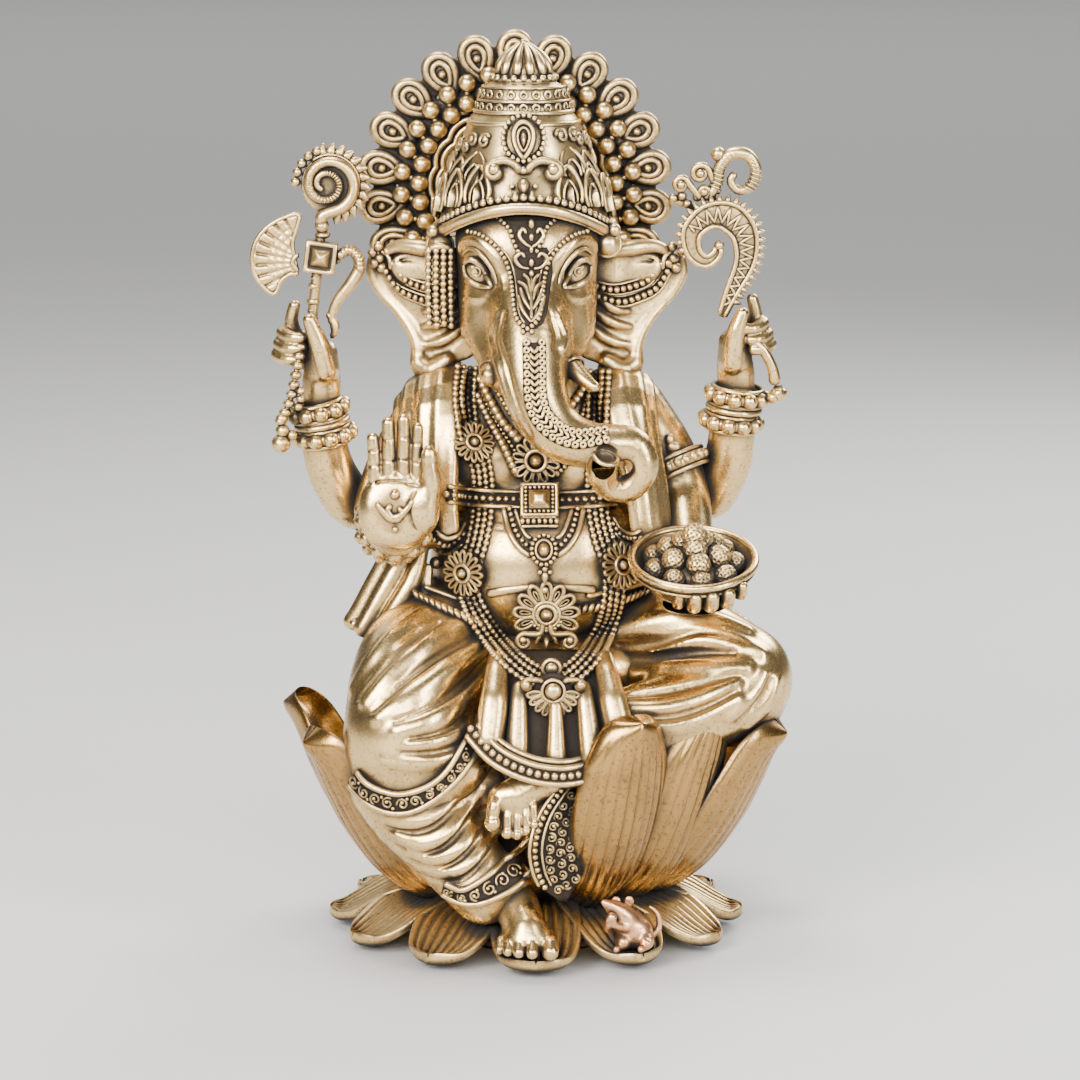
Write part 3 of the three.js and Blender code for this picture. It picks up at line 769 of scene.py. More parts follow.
def lotus():
    floor = lathe(spline([[0.01, 0], [17.6, 0], [18.5, 0.5], [18.5, 1.7], [17.9, 2.2], [0.01, 2.2]], 40), 96)
    piece("base_plate", floor, nodes=["base_plate"])
    core = lathe([[0.01, 36.5], [20, 36], [24, 32], [21, 24], [17, 15], [13, 10.5], [13, 2.5], [16.5, 2.5],
                  [16.5, 9], [20, 12.5], [25, 22], [28, 33], [28.4, 38], [27.6, 40], [24, 40.6], [0.01, 41]],
                  96)
    show("lotus_core", core, nodes=["lotus_core"])
    for i in range(12):
        half = petal_half(8.3, 0.72, 0.52, 0.03, 2.6 if i == 0 else 2.0)
        name = f"foot_petal_{i + 1:02d}"
        show(name, petal(i * 30, FOOT_SPINE, half, 2.2, 1.7, 9, 0.75, 0.1), nodes=[name])
    for i, (angle, widest, lean) in enumerate(CUP_PETALS):
        spine = CUP_SPINE_UPRIGHT if i < 2 else CUP_SPINE_OPEN
        half = petal_half(widest, 0.5, 0.56, 0.03, (2.7, 2.0)[min(i, 1)])
        shell = petal(angle, spine, half, 2.6, 5.4, 9, 0.7, 0.15, ribs_out=True, lean=lean, fade=0.6)
        name = f"cup_petal_{i + 1:02d}"
        # the cup petals wear the darker brass: painted shade and painted reflection
        show(name, shell, nodes=[name], look="petal_brass_painted_shade_reflection")


# ---- Head ------------------------------------------------------------------------------------
FACE_X = -1.5  # the middle of the face
TRUNK_CURL = (16.0, -22.5, 90.7)  # the hole in the middle of the rolled end
# round the rolled end: angle, distance from its middle, lift towards the viewer and radius of the bar
CURL = [(82, 3.9, 0, 2.9), (35, 3.2, 0.2, 2.5), (-20, 3.0, 0.3, 2.3), (-80, 3.9, 0.4, 2.6),
        (-125, 4.5, 0.9, 2.8), (-160, 4.3, 2.2, 2.8), (168, 4.1, 3.6, 2.75)]
LIP_WAY = (0.25, -0.45, 0.86)  # the way that the open end of the trunk faces


def mirrored(places):
    """Places on the face's other side."""
    return [(2 * FACE_X - p[0], *p[1:]) for p in places]


def curl_point(angle, reach, lift):
    """A point beside the rolled end of the trunk."""
    x, y, z = TRUNK_CURL
    return (x + reach * math.cos(math.radians(angle)), y - lift, z + reach * math.sin(math.radians(angle)))


TRUNK_LINE = [(-1.3, -12.5, 117), (-1.0, -16.2, 111.5), (-0.6, -18.6, 106), (1.0, -20.6, 100.8),
              (4.2, -22, 96.7), (9.5, -22.6, 94.6)] + [curl_point(*place) for *place, _ in CURL]
TRUNK_RADII = [7.3, 7.1, 6.3, 5.5, 4.6, 3.7] + [radius for *_, radius in CURL]


FOREHEAD_BEADS = [(-6.9, 130.2), (-4.8, 128.0), (-4.1, 125.8), (-3.2, 124.0)]
FACE_BEADS = [(-12.2, 127.8), (-10.1, 127.1), (-7.5, 125.2), (-5.6, 122.7), (-4.7, 120.1), (-4.3, 117.5),
              (-3.8, 112.9), (-2.8, 110.8), (-0.7, 109.3)]
BROW = [(-13.8, 124.8), (-13.2, 126.2), (-11.4, 126.6), (-9.0, 125.2), (-6.9, 122.4), (-5.9, 119.8),
        (-5.7, 117.4)]
BROW_LOW = [(-13.4, 123.6), (-11.6, 124.6), (-9.5, 123.1), (-7.7, 120.4), (-7.0, 118.0)]
LID = [(-13.0, 121.9), (-12.1, 122.6), (-11.0, 122.5), (-9.7, 121.4), (-8.8, 119.7), (-7.9, 117.5)]
LID_LOW = [(-13.0, 121.9), (-12.7, 120.2), (-11.6, 118.8), (-10.0, 117.9), (-7.9, 117.5)]
# the rims round the eye: places, lift, smoothing, radii and sides
LID_RIMS = [(LID, 0.35, 1, [0.3, 0.65, 0.8, 0.7, 0.6, 0.3], 10),
            (LID_LOW, 0.3, 1, [0.3, 0.5, 0.6, 0.5, 0.3], 10),
            (BROW_LOW, 0.1, 2, [0.2, 0.45, 0.5, 0.4, 0.2], 8)]
CHEEK = [(-6.9, 113.0), (-7.4, 110.8), (-8.2, 108.8), (-7.5, 106.4), (-6.4, 103.0), (-5.4, 99.0),
         (-4.0, 94.8), (-2.2, 91.2)]
CHAIN = [(-0.3, 107.4), (-0.2, 102.0), (-0.1, 98.0), (0.8, 94.6), (3.4, 91.8), (7.2, 90.3), (12.4, 91.0)]


BROW_MIDDLE = -0.8  # the middle of the ornament on the forehead
# half of that ornament's stems, leaves and curls, as [distance from its middle, rise]
BROW_WIRES = [[(0, 119.6), (0, 116.0), (0, 111.4)], [(0, 111.0), (-1.6, 113.4), (-2.4, 116.0)],
              [(0, 114.4), (-1.0, 117.4), (-2.5, 118.6)], [(0, 113.0), (-1.4, 115.4), (-2.0, 117.4)],
              [(0, 115.6), (-0.5, 118.6), (-1.5, 120.0)],
              [(-0.3, 120.8), (-1.9, 121.2), (-2.9, 122.6), (-1.8, 123.6), (-1.1, 122.7)],
              [(0, 124.6), (-1.2, 125.4), (-2.2, 126.8), (-1.5, 128.0), (-0.9, 127.0)]]


def backed(rows, back):
    """A plate over rows of points, and the same rows moved by back."""
    return loft([np.vstack([row, row[::-1] + back]) for row in np.array(rows)])


def blister(relief, outline, edge, middle):
    """A low dome on a relief, over a closed outline of [x, rise] places."""
    line = closed_curve(outline, 40)[:, [0, 2]]
    heart = line.mean(0)
    rings = [relief.on(line, -0.5)]
    for t in np.linspace(1, 0.04, 8):
        rings.append(relief.on(heart + (line - heart) * t, edge + (middle - edge) * math.sqrt(1 - t * t)))
    return loft(rings)


def head():
    clay = Clay((-18, -28, 82), (25, 12, 142), 0.3)
    clay.ball((FACE_X, -1.5, 123), (12.4, 11.5, 13.5), 0)
    clay.ball((FACE_X, -3.6, 129.4), (13.2, 11.4, 9.4), 2)
    clay.ball((FACE_X, -6, 122), (11.6, 9.4, 11), 3)
    for side in (-1, 1):
        clay.ball((FACE_X + side * 5.2, -7.5, 127.5), (6, 6.6, 6.5), 3)  # domes of the forehead
        clay.ball((FACE_X + side * 6.4, -6.6, 117), (5.6, 6.6, 7), 3)  # cheek
        jaw = np.array([(7.4, -8, 113.5), (5.4, -11.5, 109.5), (3.8, -14.5, 106)]) * [side, 1, 1]
        clay.bar(jaw + [FACE_X, 0, 0], [4.4, 4.2, 3.4], 2.5)
    clay.bar(TRUNK_LINE, TRUNK_RADII, 2.5, fine=4)
    lip = np.array(TRUNK_LINE[-1])
    lip_way = unit(LIP_WAY)
    lip_side = unit(np.cross(lip_way, (1, 0, 0)))
    clay.ball(lip + lip_way * 2.5, (2.1, 2.1, 1.5), 0.4, [np.cross(lip_side, lip_way), lip_side, lip_way],
              dig=True)
    mouth = [(-1.2, -9, 108), (-0.9, -11, 103.5), (-0.5, -12, 100.5)]
    clay.bar(mouth, [4.8, 3.8, 2.4], 2.5)
    clay.ball((TRUNK_CURL[0], TRUNK_CURL[1] - 2, TRUNK_CURL[2]), (1.45, 9.0, 1.45), 0.5, dig=True)
    for flip in (list, mirrored):
        clay.ball(onto(clay, flip([(-10.5, 120.4)]))[0] - [0, 0.4, 0], (2.6, 1.4, 2.8), 0.8, dig=True)
        fold(clay, flip(BROW), [0.5, 1.0, 1.15, 1.2, 1.1, 0.8, 0.3], 0.55, 0.7)
        fold(clay, flip([(-12.8, 117.0), (-11.0, 115.8), (-8.9, 116.0)]), [0.3, 0.6, 0.3], 0.5, 0.7)
        crease = CHEEK if flip is list else CHEEK[:4]
        fold(clay, flip(crease), [0.4, 0.9, 1.0, 0.9, 0.8, 0.7, 0.6, 0.4][:len(crease)], 0.25, 0.6)
        beside_it = [(x + 1.3, r) for x, r in crease]
        fold(clay, flip(beside_it), [0.2] + [0.45] * (len(crease) - 2) + [0.2], -0.05, 0.5, dig=True)
    for i in range(5):  # rings of skin on the underside of the rolled end
        outer = np.array(curl_point(190 + 21 * i, 7.0, 1.8))
        clay.bar([outer + [0, -1.6, 0], outer + [0, 2.4, 0]], 0.25, 0.5, dig=True)
    shell = clay.skin(2)
    piece("head", shell, "polished_brass", nodes=["head", "trunk"])

    face = Relief(cell=0.4)
    face.add(shell)
    ornaments, sockets = [], []
    for flip in (list, mirrored):
        sockets.append(blister(face, flip(LID + LID_LOW[::-1][1:-1]), 0.02, 0.25))
        eyeball = [(-10.6 + 2.15 * math.cos(a) * 0.72 + 1.45 * math.sin(a) * 0.69,
                    120.2 - 2.15 * math.cos(a) * 0.69 + 1.45 * math.sin(a) * 0.72)
                   for a in np.linspace(0, TURN, 13)[:-1]]  # an oval that slants down towards the trunk
        ornaments.append(blister(face, flip(eyeball), 0.1, 1.0))
        iris, = face.on(flip([(-10.7, 120.5)]), 0.95)
        out, = face.normals(flip([(-10.7, 120.5)]), 1.5)
        ornaments += [hoop(iris, out, 0.78, 0.2, 6, 20), ball(iris, 0.34, 1)]
        for places, lift, smooth, radii, sides in LID_RIMS:
            ornaments.append(rod(face.on(spline(flip(places), 24), lift, smooth), radii, 0.3, sides))
    ornaments.append(hoop(lip + lip_way * 1.7, lip_way, 2.15, 0.42, 8, 32))
    piece("eye_sockets", join(*sockets), nodes=["head"], look="dark_patina")

    def lay(places, lift, count):
        return face.on(spline(places, count), lift, 2)

    inner = [(x + 0.75, r - 0.25) for x, r in FACE_BEADS[:3]] + [(x + 0.8, r) for x, r in FACE_BEADS[3:8]]
    for flip in (list, mirrored):
        ornaments.append(bead_row(lay(flip(FOREHEAD_BEADS), 0.2, 30), 0.45, 1.02))
        ornaments.append(bead_row(lay(flip(FACE_BEADS), 0.2, 70), 0.47, 1.02))
        ornaments.append(tube(lay(flip(inner), 0.02, 60), 0.2, 6))
    # the ground inside the beads, with a leaf pattern on it
    rows, upper = [], []
    for t in np.linspace(0, 1, 34):
        rise = 124.6 * (1 - t) + 109.9 * t
        left = np.interp(rise, [109.3, 110.8, 112.9, 117.5, 120.1, 122.7, 124.6],
                         [-0.75, -2.6, -3.5, -4.0, -4.4, -4.2, -3.4])
        rows.append(face.on([(x, rise) for x in np.linspace(left + 0.2, 2 * FACE_X + 1.6 - left, 18)], 0.1))
        rise = 130.6 * (1 - t) + 124.0 * t
        left = np.interp(rise, [124, 125.8, 128, 130.6], [-3.0, -3.9, -4.6, -6.8])
        upper.append(face.on([(x, rise) for x in np.linspace(left, 2 * FACE_X + 1.4 - left - 1.4, 18)], 0.1))
    for grid, name in ((rows, "face_ground"), (upper, "forehead_ground")):
        piece(name, backed(grid, LOOK * 0.5), nodes=["head"], look="dark_patina")
    for places in BROW_WIRES:
        for side in (1, -1):
            line = [(BROW_MIDDLE + side * away, rise) for away, rise in places]
            ornaments.append(rod(lay(line, 0.3, 16), [0.22, 0.42, 0.3], 0.25, 8))
    for rise, r in ((128.8, 0.75), (126.4, 0.55), (121.9, 0.6), (119.8, 0.6), (124.2, 0.5)):
        ornaments.append(ball(face.on([(BROW_MIDDLE, rise)], 0.3)[0], (r * 0.8, r * 0.7, r * 1.3)))

    # a chain of chevrons down the trunk, between rows of scallops
    line = spline(CHAIN, 90)
    way = heading(line)
    left_of = np.stack([-way[:, 1], way[:, 0]], 1)
    half = np.interp(np.arange(90), [0, 50, 89], [1.3, 1.25, 0.9])[:, None]
    for side in (-1, 1):
        edge = face.on(line + left_of * half * side * 1.06, 0.3, 2)
        for p in along(edge, 21):
            ornaments.append(hoop(p, (0, -1, 0.1), 0.42, 0.32, 8, 16))
    for i in range(3, 88, 4):
        place = line[i] + way[i] * 0.9
        arms = [place - way[i] * 1.1 + left_of[i] * half[i] * 0.7 * s for s in (-1, 1)]
        ornaments.append(rod(face.on([arms[0], place, arms[1]], 0.25), 0.36, 0.3, 6))
    across = np.linspace(-1, 1, 9)
    ground = [face.on([line[i] + left_of[i] * (half[i] + 0.85) * s for s in across], 0.05) for i in range(90)]
    piece("trunk_ground", backed(ground, LOOK * 0.4), nodes=["trunk"], look="dark_patina")
    piece("face_ornament", join(*ornaments), nodes=["head"])


# ---- Body and legs ---------------------------------------------------------------------------
def torso():
    clay = Clay((-28, -22, 46), (30, 22, 122), 0.42)
    clay.ball((1, -1, 70), (20.5, 15.8, 16.5), 0)
    clay.ball((-1, 3, 88), (18, 11, 16), 3)
    clay.ball((-1, 3, 98), (20.5, 8.5, 8), 4)
    for side in (-1, 1):
        clay.ball((-1 + side * 8.5, -5, 89.5), (8, 5.5, 6), 3)
    clay.bar([(-1, 1, 100), (-1, -1, 112)], [9, 8], 3)
    clay.bar([(-19, -1, 82), (-8, -12.5, 79.5), (2, -15.5, 79), (12, -13, 80)], [0.6, 0.9, 0.9, 0.6], 1.2,
             dig=True)
    show("torso", clay.skin(1), "polished_brass", nodes=["torso"])


THIGH_FOLDS = [
    ([(-32.6, 45.5), (-27.6, 53.0), (-20.7, 59.0)], [0.9, 1.7, 1.2]),
    ([(-30.4, 43.2), (-24.4, 50.0), (-17.4, 55.2), (-12.4, 57.6)], [0.8, 1.7, 1.9, 1.2]),
    ([(-28.0, 40.6), (-20.9, 45.4), (-15.0, 49.6), (-9.6, 53.4)], [0.9, 2.1, 2.0, 1.2]),
    ([(-24.5, 38.2), (-17.4, 40.8), (-12.6, 44.6), (-8.9, 48.2)], [0.8, 1.7, 1.7, 1.0]),
    ([(-23.0, 35.8), (-16.2, 36.6), (-11.8, 39.6), (-9.4, 43.0)], [0.6, 1.3, 1.2, 0.8]),
    ([(-27.0, 33.2), (-20.7, 32.4), (-15.6, 33.9), (-12.6, 36.4)], [0.5, 1.0, 1.0, 0.6]),
]
THIGH_CREASES = [
    ([(-31.6, 43.9), (-25.2, 51.5), (-17.4, 57.4)], [0.3, 0.6, 0.4]),
    ([(-29.0, 41.8), (-22.2, 48.0), (-16.0, 52.4), (-9.8, 55.4)], [0.3, 0.7, 0.7, 0.4]),
    ([(-25.0, 40.0), (-17.4, 43.2), (-11.8, 47.4), (-8.9, 50.6)], [0.2, 0.7, 0.8, 0.5]),
    ([(-22.4, 37.0), (-15.4, 38.4), (-11.6, 42.0), (-9.2, 45.4)], [0.2, 0.6, 0.6, 0.4]),
    ([(-24.0, 34.6), (-18.0, 34.4), (-13.0, 35.8), (-10.4, 38.6)], [0.2, 0.5, 0.5, 0.3]),
]
KNEE_HEM = [(-33.6, 31.8), (-31.6, 29.4), (-28.0, 27.6), (-23.8, 27.1), (-18.3, 29.0), (-14.1, 32.7),
            (-10.6, 39.0)]
KNEE_HEM_LOW = [(-32.0, 28.0), (-29.4, 25.4), (-25.0, 23.6), (-20.7, 24.5), (-15.5, 28.8), (-10.9, 35.4)]
SHIN_FOLDS = [
    ([(-26.6, 22.6), (-20.9, 21.6), (-15.6, 24.6), (-10.4, 31.0)], [0.9, 1.5, 1.4, 0.9]),
    ([(-24.8, 19.4), (-20.0, 17.4), (-14.2, 20.8), (-9.4, 27.6)], [0.8, 1.4, 1.4, 0.9]),
    ([(-22.2, 16.6), (-17.2, 14.9), (-12.0, 18.2), (-8.0, 23.6)], [0.7, 1.2, 1.3, 0.8]),
    ([(-19.8, 13.8), (-14.6, 12.6), (-9.4, 16.4), (-6.4, 20.8)], [0.6, 1.1, 1.2, 0.8]),
]
ANKLE_BAND = [(-17.6, 11.4), (-13.6, 9.7), (-7.9, 12.6), (-3.8, 15.8), (-1.3, 18.4)]
ANKLE_BAND_LOW = [(-15.6, 8.8), (-10.8, 7.2), (-5.6, 9.1), (-1.0, 12.7)]


def right_leg():
    thigh = Clay((-42, -42, 26), (-4, 22, 72), 0.42)
    thigh.bar([(-10, 6, 54), (-18, -6, 54), (-22.0, -18, 50), (-23, -25, 43)], [12.5, 13, 12.4, 11.2], 0)
    thigh.ball((-23.0, -25.5, 41), (10.8, 9.6, 12.5), 3)
    thigh.ball((-23.6, -14, 42), (10.6, 12, 11), 4)
    thigh.bar([(-26.6, -24, 36), (-22, -28, 33), (-14, -27, 37)], [6.4, 7.2, 6], 3)
    for places, radius in THIGH_FOLDS:
        fold(thigh, places, radius, 0.45, 1.5)
    for places, radius in THIGH_CREASES:
        fold(thigh, places, radius, 0.1, 0.8, dig=True)
    for i in range(4):  # folds round the outside of the thigh
        z = 47 + 4.2 * i
        thigh.bar([(-34.4 + 1.2 * i, -14, z - 5), (-31.3 + i, -2, z), (-25 + i, 8, z + 2), (-18, 14, z + 1)],
                  [0.5, 1.3, 1.4, 0.8], 1.3)
    show("right_thigh", thigh.skin(1), "polished_brass", nodes=["right_thigh"])

    shin = Clay((-38, -42, 4), (4, -8, 42), 0.36)
    shin.bar([(-24, -24, 34), (-20.5, -25.5, 28.5), (-14, -27.6, 20.5), (-9.2, -29, 14.6)],
             [10.2, 9.8, 8.2, 6.4], 0)
    shin.bar([(-24, -22, 33), (-15, -24, 33.5), (-9.5, -26, 33)], [8, 7, 4.5], 2.5)
    shin.bar([(-9, -28.5, 15.5), (-5.5, -29, 16)], [6, 4.6], 2)
    for places, radius in SHIN_FOLDS:
        fold(shin, places, radius, 0.4, 0.9)
        fold(shin, [(x - 0.2, r - 1.9) for x, r in places], np.array(radius) * 0.45, 0.0, 0.6, dig=True)
    fold(shin, KNEE_HEM_LOW, 0.9, 0.4, 0.5)
    fold(shin, ANKLE_BAND, 0.75, 0.35, 0.4)
    fold(shin, ANKLE_BAND_LOW, 0.75, 0.35, 0.4)
    show("right_shin_wrap", shin.skin(1), "polished_brass", nodes=["right_shin_wrap"])

    foot = Clay((-12, -44, 1), (8, -20, 22), 0.26)
    foot.bar([(-6, -27.5, 15.5), (-3.4, -31, 11.5), (-1.6, -35, 8.6)], [4.4, 4.3, 3.6], 0)
    foot.ball((-1, -36, 7.2), (5.0, 3.4, 2.2), 1.5)
    toes = ((2.4, -39.6, 1.55), (-0.6, -40.3, 1.15), (-2.8, -40.0, 1.05), (-4.6, -39.2, 0.95),
            (-6.0, -38.2, 0.85))
    for x, y, r in toes:
        foot.bar([(x * 0.9, y + 4, 7.6), (x * 1.04, y + 1.8, 7.0), (x * 1.08, y + 0.4, 5.7)],
                 [r * 0.9, r * 0.95, r], 0.2)
        foot.bar([(x * 0.6 - 1.6, y + 8, 11.4), (x * 0.85 - 0.4, y + 4, 8.6)], [0.3, 0.5], 0.7)
    show("right_foot", foot.skin(1), "polished_brass", nodes=["right_foot"])


LEFT_FOLDS = [
    ([(14.6, 55.0), (22.5, 57.6), (31.4, 57.8), (38.4, 55.6)], [1.2, 2.2, 2.2, 1.2]),
    ([(20.6, 52.0), (27.0, 54.0), (34.8, 54.2), (41.0, 51.6)], [0.8, 1.8, 1.8, 1.0]),
    ([(15.6, 46.2), (22.8, 48.2), (30.5, 49.0), (38.0, 49.0)], [1.2, 2.2, 2.2, 1.2]),
    ([(15.8, 42.4), (23.0, 42.0), (30.0, 43.8), (36.0, 46.4)], [0.9, 1.7, 1.7, 0.9]),
    ([(17.0, 39.2), (24.4, 38.9), (31.6, 41.2), (36.4, 43.8)], [0.7, 1.4, 1.2, 0.7]),
    ([(34.8, 40.4), (39.2, 44.4), (41.4, 48.0)], [0.7, 1.4, 0.8]),
    ([(38.4, 38.8), (42.4, 43.4), (43.6, 47.0)], [0.6, 1.2, 0.7]),
]
LEFT_CREASES = [
    ([(15.4, 52.8), (22.0, 53.4), (30.0, 56.0), (38.0, 53.8)], [0.8, 1.1, 0.6, 0.3]),
    ([(14.8, 50.6), (21.0, 50.4), (28.0, 51.8), (36.0, 51.8)], [1.3, 1.4, 0.8, 0.3]),
    ([(15.2, 44.2), (23.0, 44.9), (30.0, 46.4), (36.4, 48.0)], [0.5, 0.7, 0.6, 0.3]),
    ([(16.2, 40.8), (24.0, 40.4), (31.0, 42.5), (36.0, 45.0)], [0.3, 0.6, 0.5, 0.3]),
    ([(36.6, 39.4), (40.6, 43.8), (42.4, 47.4)], [0.3, 0.7, 0.3]),
]


def left_leg():
    clay = Clay((-10, -40, 28), (50, 24, 68), 0.42)
    clay.bar([(6, 8, 54), (17, 0, 55), (28, -7, 54.5), (37, -12, 50.5)], [10, 10, 10, 9.4], 0)
    clay.bar([(37.6, -12, 49), (29, -19, 46), (18, -23, 43.4), (6, -25, 40)], [9, 8.4, 7.6, 6.2], 2)
    clay.ball((35, -6, 45), (10, 14, 9), 3)
    for places, radius in LEFT_FOLDS:
        fold(clay, places, radius, 0.45, 1.5)
    for places, radius in LEFT_CREASES:
        fold(clay, places, radius, 0.1, 0.9, dig=True)
    for i in range(4):  # folds round the outside and back of the thigh
        z = 45 + 4.4 * i
        clay.bar([(43.9 - 0.8 * i, -12, z - 2), (41.3 - i, -1, z), (32.3 - i, 8, z + 2), (22, 14, z + 1)],
                 [0.5, 1.3, 1.4, 0.8], 1.3)
    foot = Clay((-13, -41, 14), (9, -22, 44), 0.24)
    foot.bar(held_line([(5, 31.0, -28), (0.8, 29.0, -30.4), (-3.6, 26.6, -32)]), [4.4, 3.8, 3.2], 0)
    foot.ball(held(-6.0, 26.0, -32.6), (2.6, 2.2, 2.8), 1.0)
    foot.ball(held(-3.2, 24.4, -32.6), (3.7, 2.0, 2.6), 1.2)
    for x, rise, r, root in ((-7.7, 21.8, 1.6, -6.4), (-5.1, 20.0, 1.15, -4.6), (-3.3, 19.7, 1.05, -3.0),
                             (-1.7, 20.3, 0.98, -1.5), (-0.3, 21.5, 0.9, -0.2)):
        toe = held_line([(root, 26.0, -32.8), ((root + x) / 2 - 0.2, rise + 3.4, -34.2),
                         (x, rise + 1.2, -34.6)])
        foot.bar(toe, [r * 0.8, r * 0.82, r * 0.8], 0.15)
        foot.ball(held(x, rise, -34.8), (r * 0.95, r, r), 0.1)
    show("left_leg", join(clay.skin(1), foot.skin(1)), "polished_brass", nodes=["left_leg"])


def lap_dhoti():
    clay = Clay((-36, -20, 36), (36, 32, 66), 0.5)
    clay.ball((0, 6, 50), (30, 21, 12), 0)
    clay.ball((0, 10, 56), (22, 13, 8), 4)
    for i in range(11):  # gathers radiating over the seat at the back
        a = math.radians(-80 + 16 * i)
        x, y = math.sin(a), math.cos(a)
        clay.bar([(19 * x, 6 + 12 * y, 62), (26 * x, 6 + 18 * y, 56), (30 * x, 6 + 21.4 * y, 47)],
                 [0.9, 1.7, 1.3], 1.6)
    show("lap_dhoti", clay.skin(1), "polished_brass", nodes=["lap_dhoti"])


# ---- Small ornaments, drawn flat: X to the right, Z up, and -Y out of the surface ------------
def closed_curve(places, count=48):
    """A smooth closed curve through places, as points on the ornament's plane."""
    p = np.asarray(places, float)
    loop = spline(np.vstack([p[-2:], p, p[:2]]), count * 3)
    start = np.argmin(np.linalg.norm(loop[:count * 2] - p[0], axis=1))
    rest = np.argmin(np.linalg.norm(loop[start + count // 2:] - p[0], axis=1)) + start + count // 2
    return in_plane(along(loop[start:rest + 1], count + 1)[:-1])


def drop_outline(width, height, steps=28):
    """A teardrop, round above and pointed below, [x, z] about its middle."""
    t = np.arange(steps) * TURN / steps
    z = np.cos(t)
    x = np.sin(t) * np.clip((1 + z) / 2, 0.0, 1) ** 0.35
    return np.stack([x * width / 2, z * height / 2], 1)


def wire_loop(outline, radius, sides=8):
    """A round wire along an outline of [x, z]."""
    return tube(in_plane(outline), radius, sides, closed=True, up=(0, 1, 0))


def pad(outline, height, rings=5, sink=0.3):
    """A rounded cushion over an outline of [x, z]."""
    o = np.asarray(outline, float)
    middle = o.mean(0)
    layers = [in_plane(o, sink)]
    for a in np.linspace(0, 1, rings) * math.pi / 2:
        layers.append(in_plane(middle + (o - middle) * max(math.cos(a), 0.04), -height * math.sin(a)))
    return loft(layers)


def disc(radius, steps=32):
    """A round outline of [x, z]."""
    t = np.arange(steps) * TURN / steps
    return np.stack([np.sin(t) * radius, np.cos(t) * radius], 1)


def spiral(radius, turns, thick, start=0.0, hand=1, tail=()):
    """A wire that curls in to a small ball. tail is a list of [x, z] that leads up to it."""
    t = np.linspace(0, 1, int(18 * turns) + 6)
    a = start + hand * t * turns * TURN
    r = radius * (1 - 0.72 * t)
    curl = np.stack([np.cos(a) * r, np.sin(a) * r], 1)
    p = in_plane(np.vstack([np.asarray(tail, float).reshape(-1, 2), curl]))
    wire = rod(p, [thick, thick, thick * 0.8], step=thick * 0.8, sides=8, up=(0, 1, 0))
    return join(wire, ball(p[-1], thick * 1.5, 1))


def flipped(shell):
    """The ornament as its mirror image, left for right."""
    return Shell(shell.corners * [-1, 1, 1], shell.quads[:, ::-1], shell.tris[:, ::-1])


def rotated(shell, angle):
    """The ornament turned in its own plane, anticlockwise as seen."""
    return shell.placed(spin(0, 2, angle), (0, 0, 0))


def beside(places, offset, count=70):
    """A smooth line of [x, rise] that runs beside places, offset to its left."""
    line = spline(places, count)
    way = heading(line)
    return line + np.stack([-way[:, 1], way[:, 0]], 1) * np.reshape(spread(offset, count), (-1, 1))


def ribbon(points, half, thick, face, sides=14):
    """A flat band along points, half as wide as given to either side, whose flat side looks along face."""
    p = np.asarray(points, float)
    n = unit(np.broadcast_to(np.asarray(face, float), p.shape))
    tangent = heading(p)
    side = unit(np.cross(tangent, n))
    out = np.cross(side, tangent)
    t = np.arange(sides) * TURN / sides
    across = np.sign(np.cos(t)) * np.abs(np.cos(t)) ** 0.5
    deep = np.sign(np.sin(t)) * np.abs(np.sin(t)) ** 0.5 * thick / 2
    w = np.reshape(spread(half, len(p)), (-1, 1, 1))
    return loft(p[:, None] + across[None, :, None] * w * side[:, None] + deep[None, :, None] * out[:, None])


def laid_line(places, lift, smooth=4):
    """A smooth line on the front of the figure."""
    count = max(int(path_length(spline(places, 40)) / 0.45), 8)
    return front.on(spline(places, count), lift, smooth)


def rosette(radius, petals=16, heart=0.36):
    """A sunburst flower: a domed heart in a ring, with looped petals round it."""
    parts = [pad(disc(radius * heart * 0.75), radius * 0.45),
             hoop((0, -0.2 * radius, 0), (0, 1, 0), radius * heart * 1.05, radius * 0.1, 8, 32)]
    length, width = radius * (1 - heart) * 1.05, TURN * radius * 0.72 / petals
    loop = wire_loop(drop_outline(width, length), radius * 0.08)
    loop = loop.moved((0, -0.14 * radius, radius * (heart + 1) / 2))
    parts += [rotated(loop, TURN * i / petals) for i in range(petals)]
    return join(*parts)


def fan(radius, petals, first, last, heart=0.3):
    """Looped petals over part of a turn, round a domed heart."""
    parts = [pad(disc(radius * heart * 0.8), radius * 0.3),
             hoop((0, -0.1 * radius, 0), (0, 1, 0), radius * heart, radius * 0.08, 8, 32)]
    step = (last - first) / (petals - 1)
    width = radius * 0.78 * abs(step)
    loop = wire_loop(drop_outline(width, radius * (1 - heart)), radius * 0.075, 8)
    inner = wire_loop(drop_outline(width * 0.36, radius * (1 - heart) * 0.5), radius * 0.04, 6)
    petal_shell = join(loop, inner).moved((0, -0.08 * radius, radius * (1 + heart) / 2))
    parts += [rotated(petal_shell, first + step * i) for i in range(petals)]
    dots = [(math.sin(-a) * radius * 0.42, -0.1 * radius, math.cos(a) * radius * 0.42)
            for a in np.linspace(first, last, petals * 2)]
    parts.append(beads(dots, radius * 0.055))
    return join(*parts)


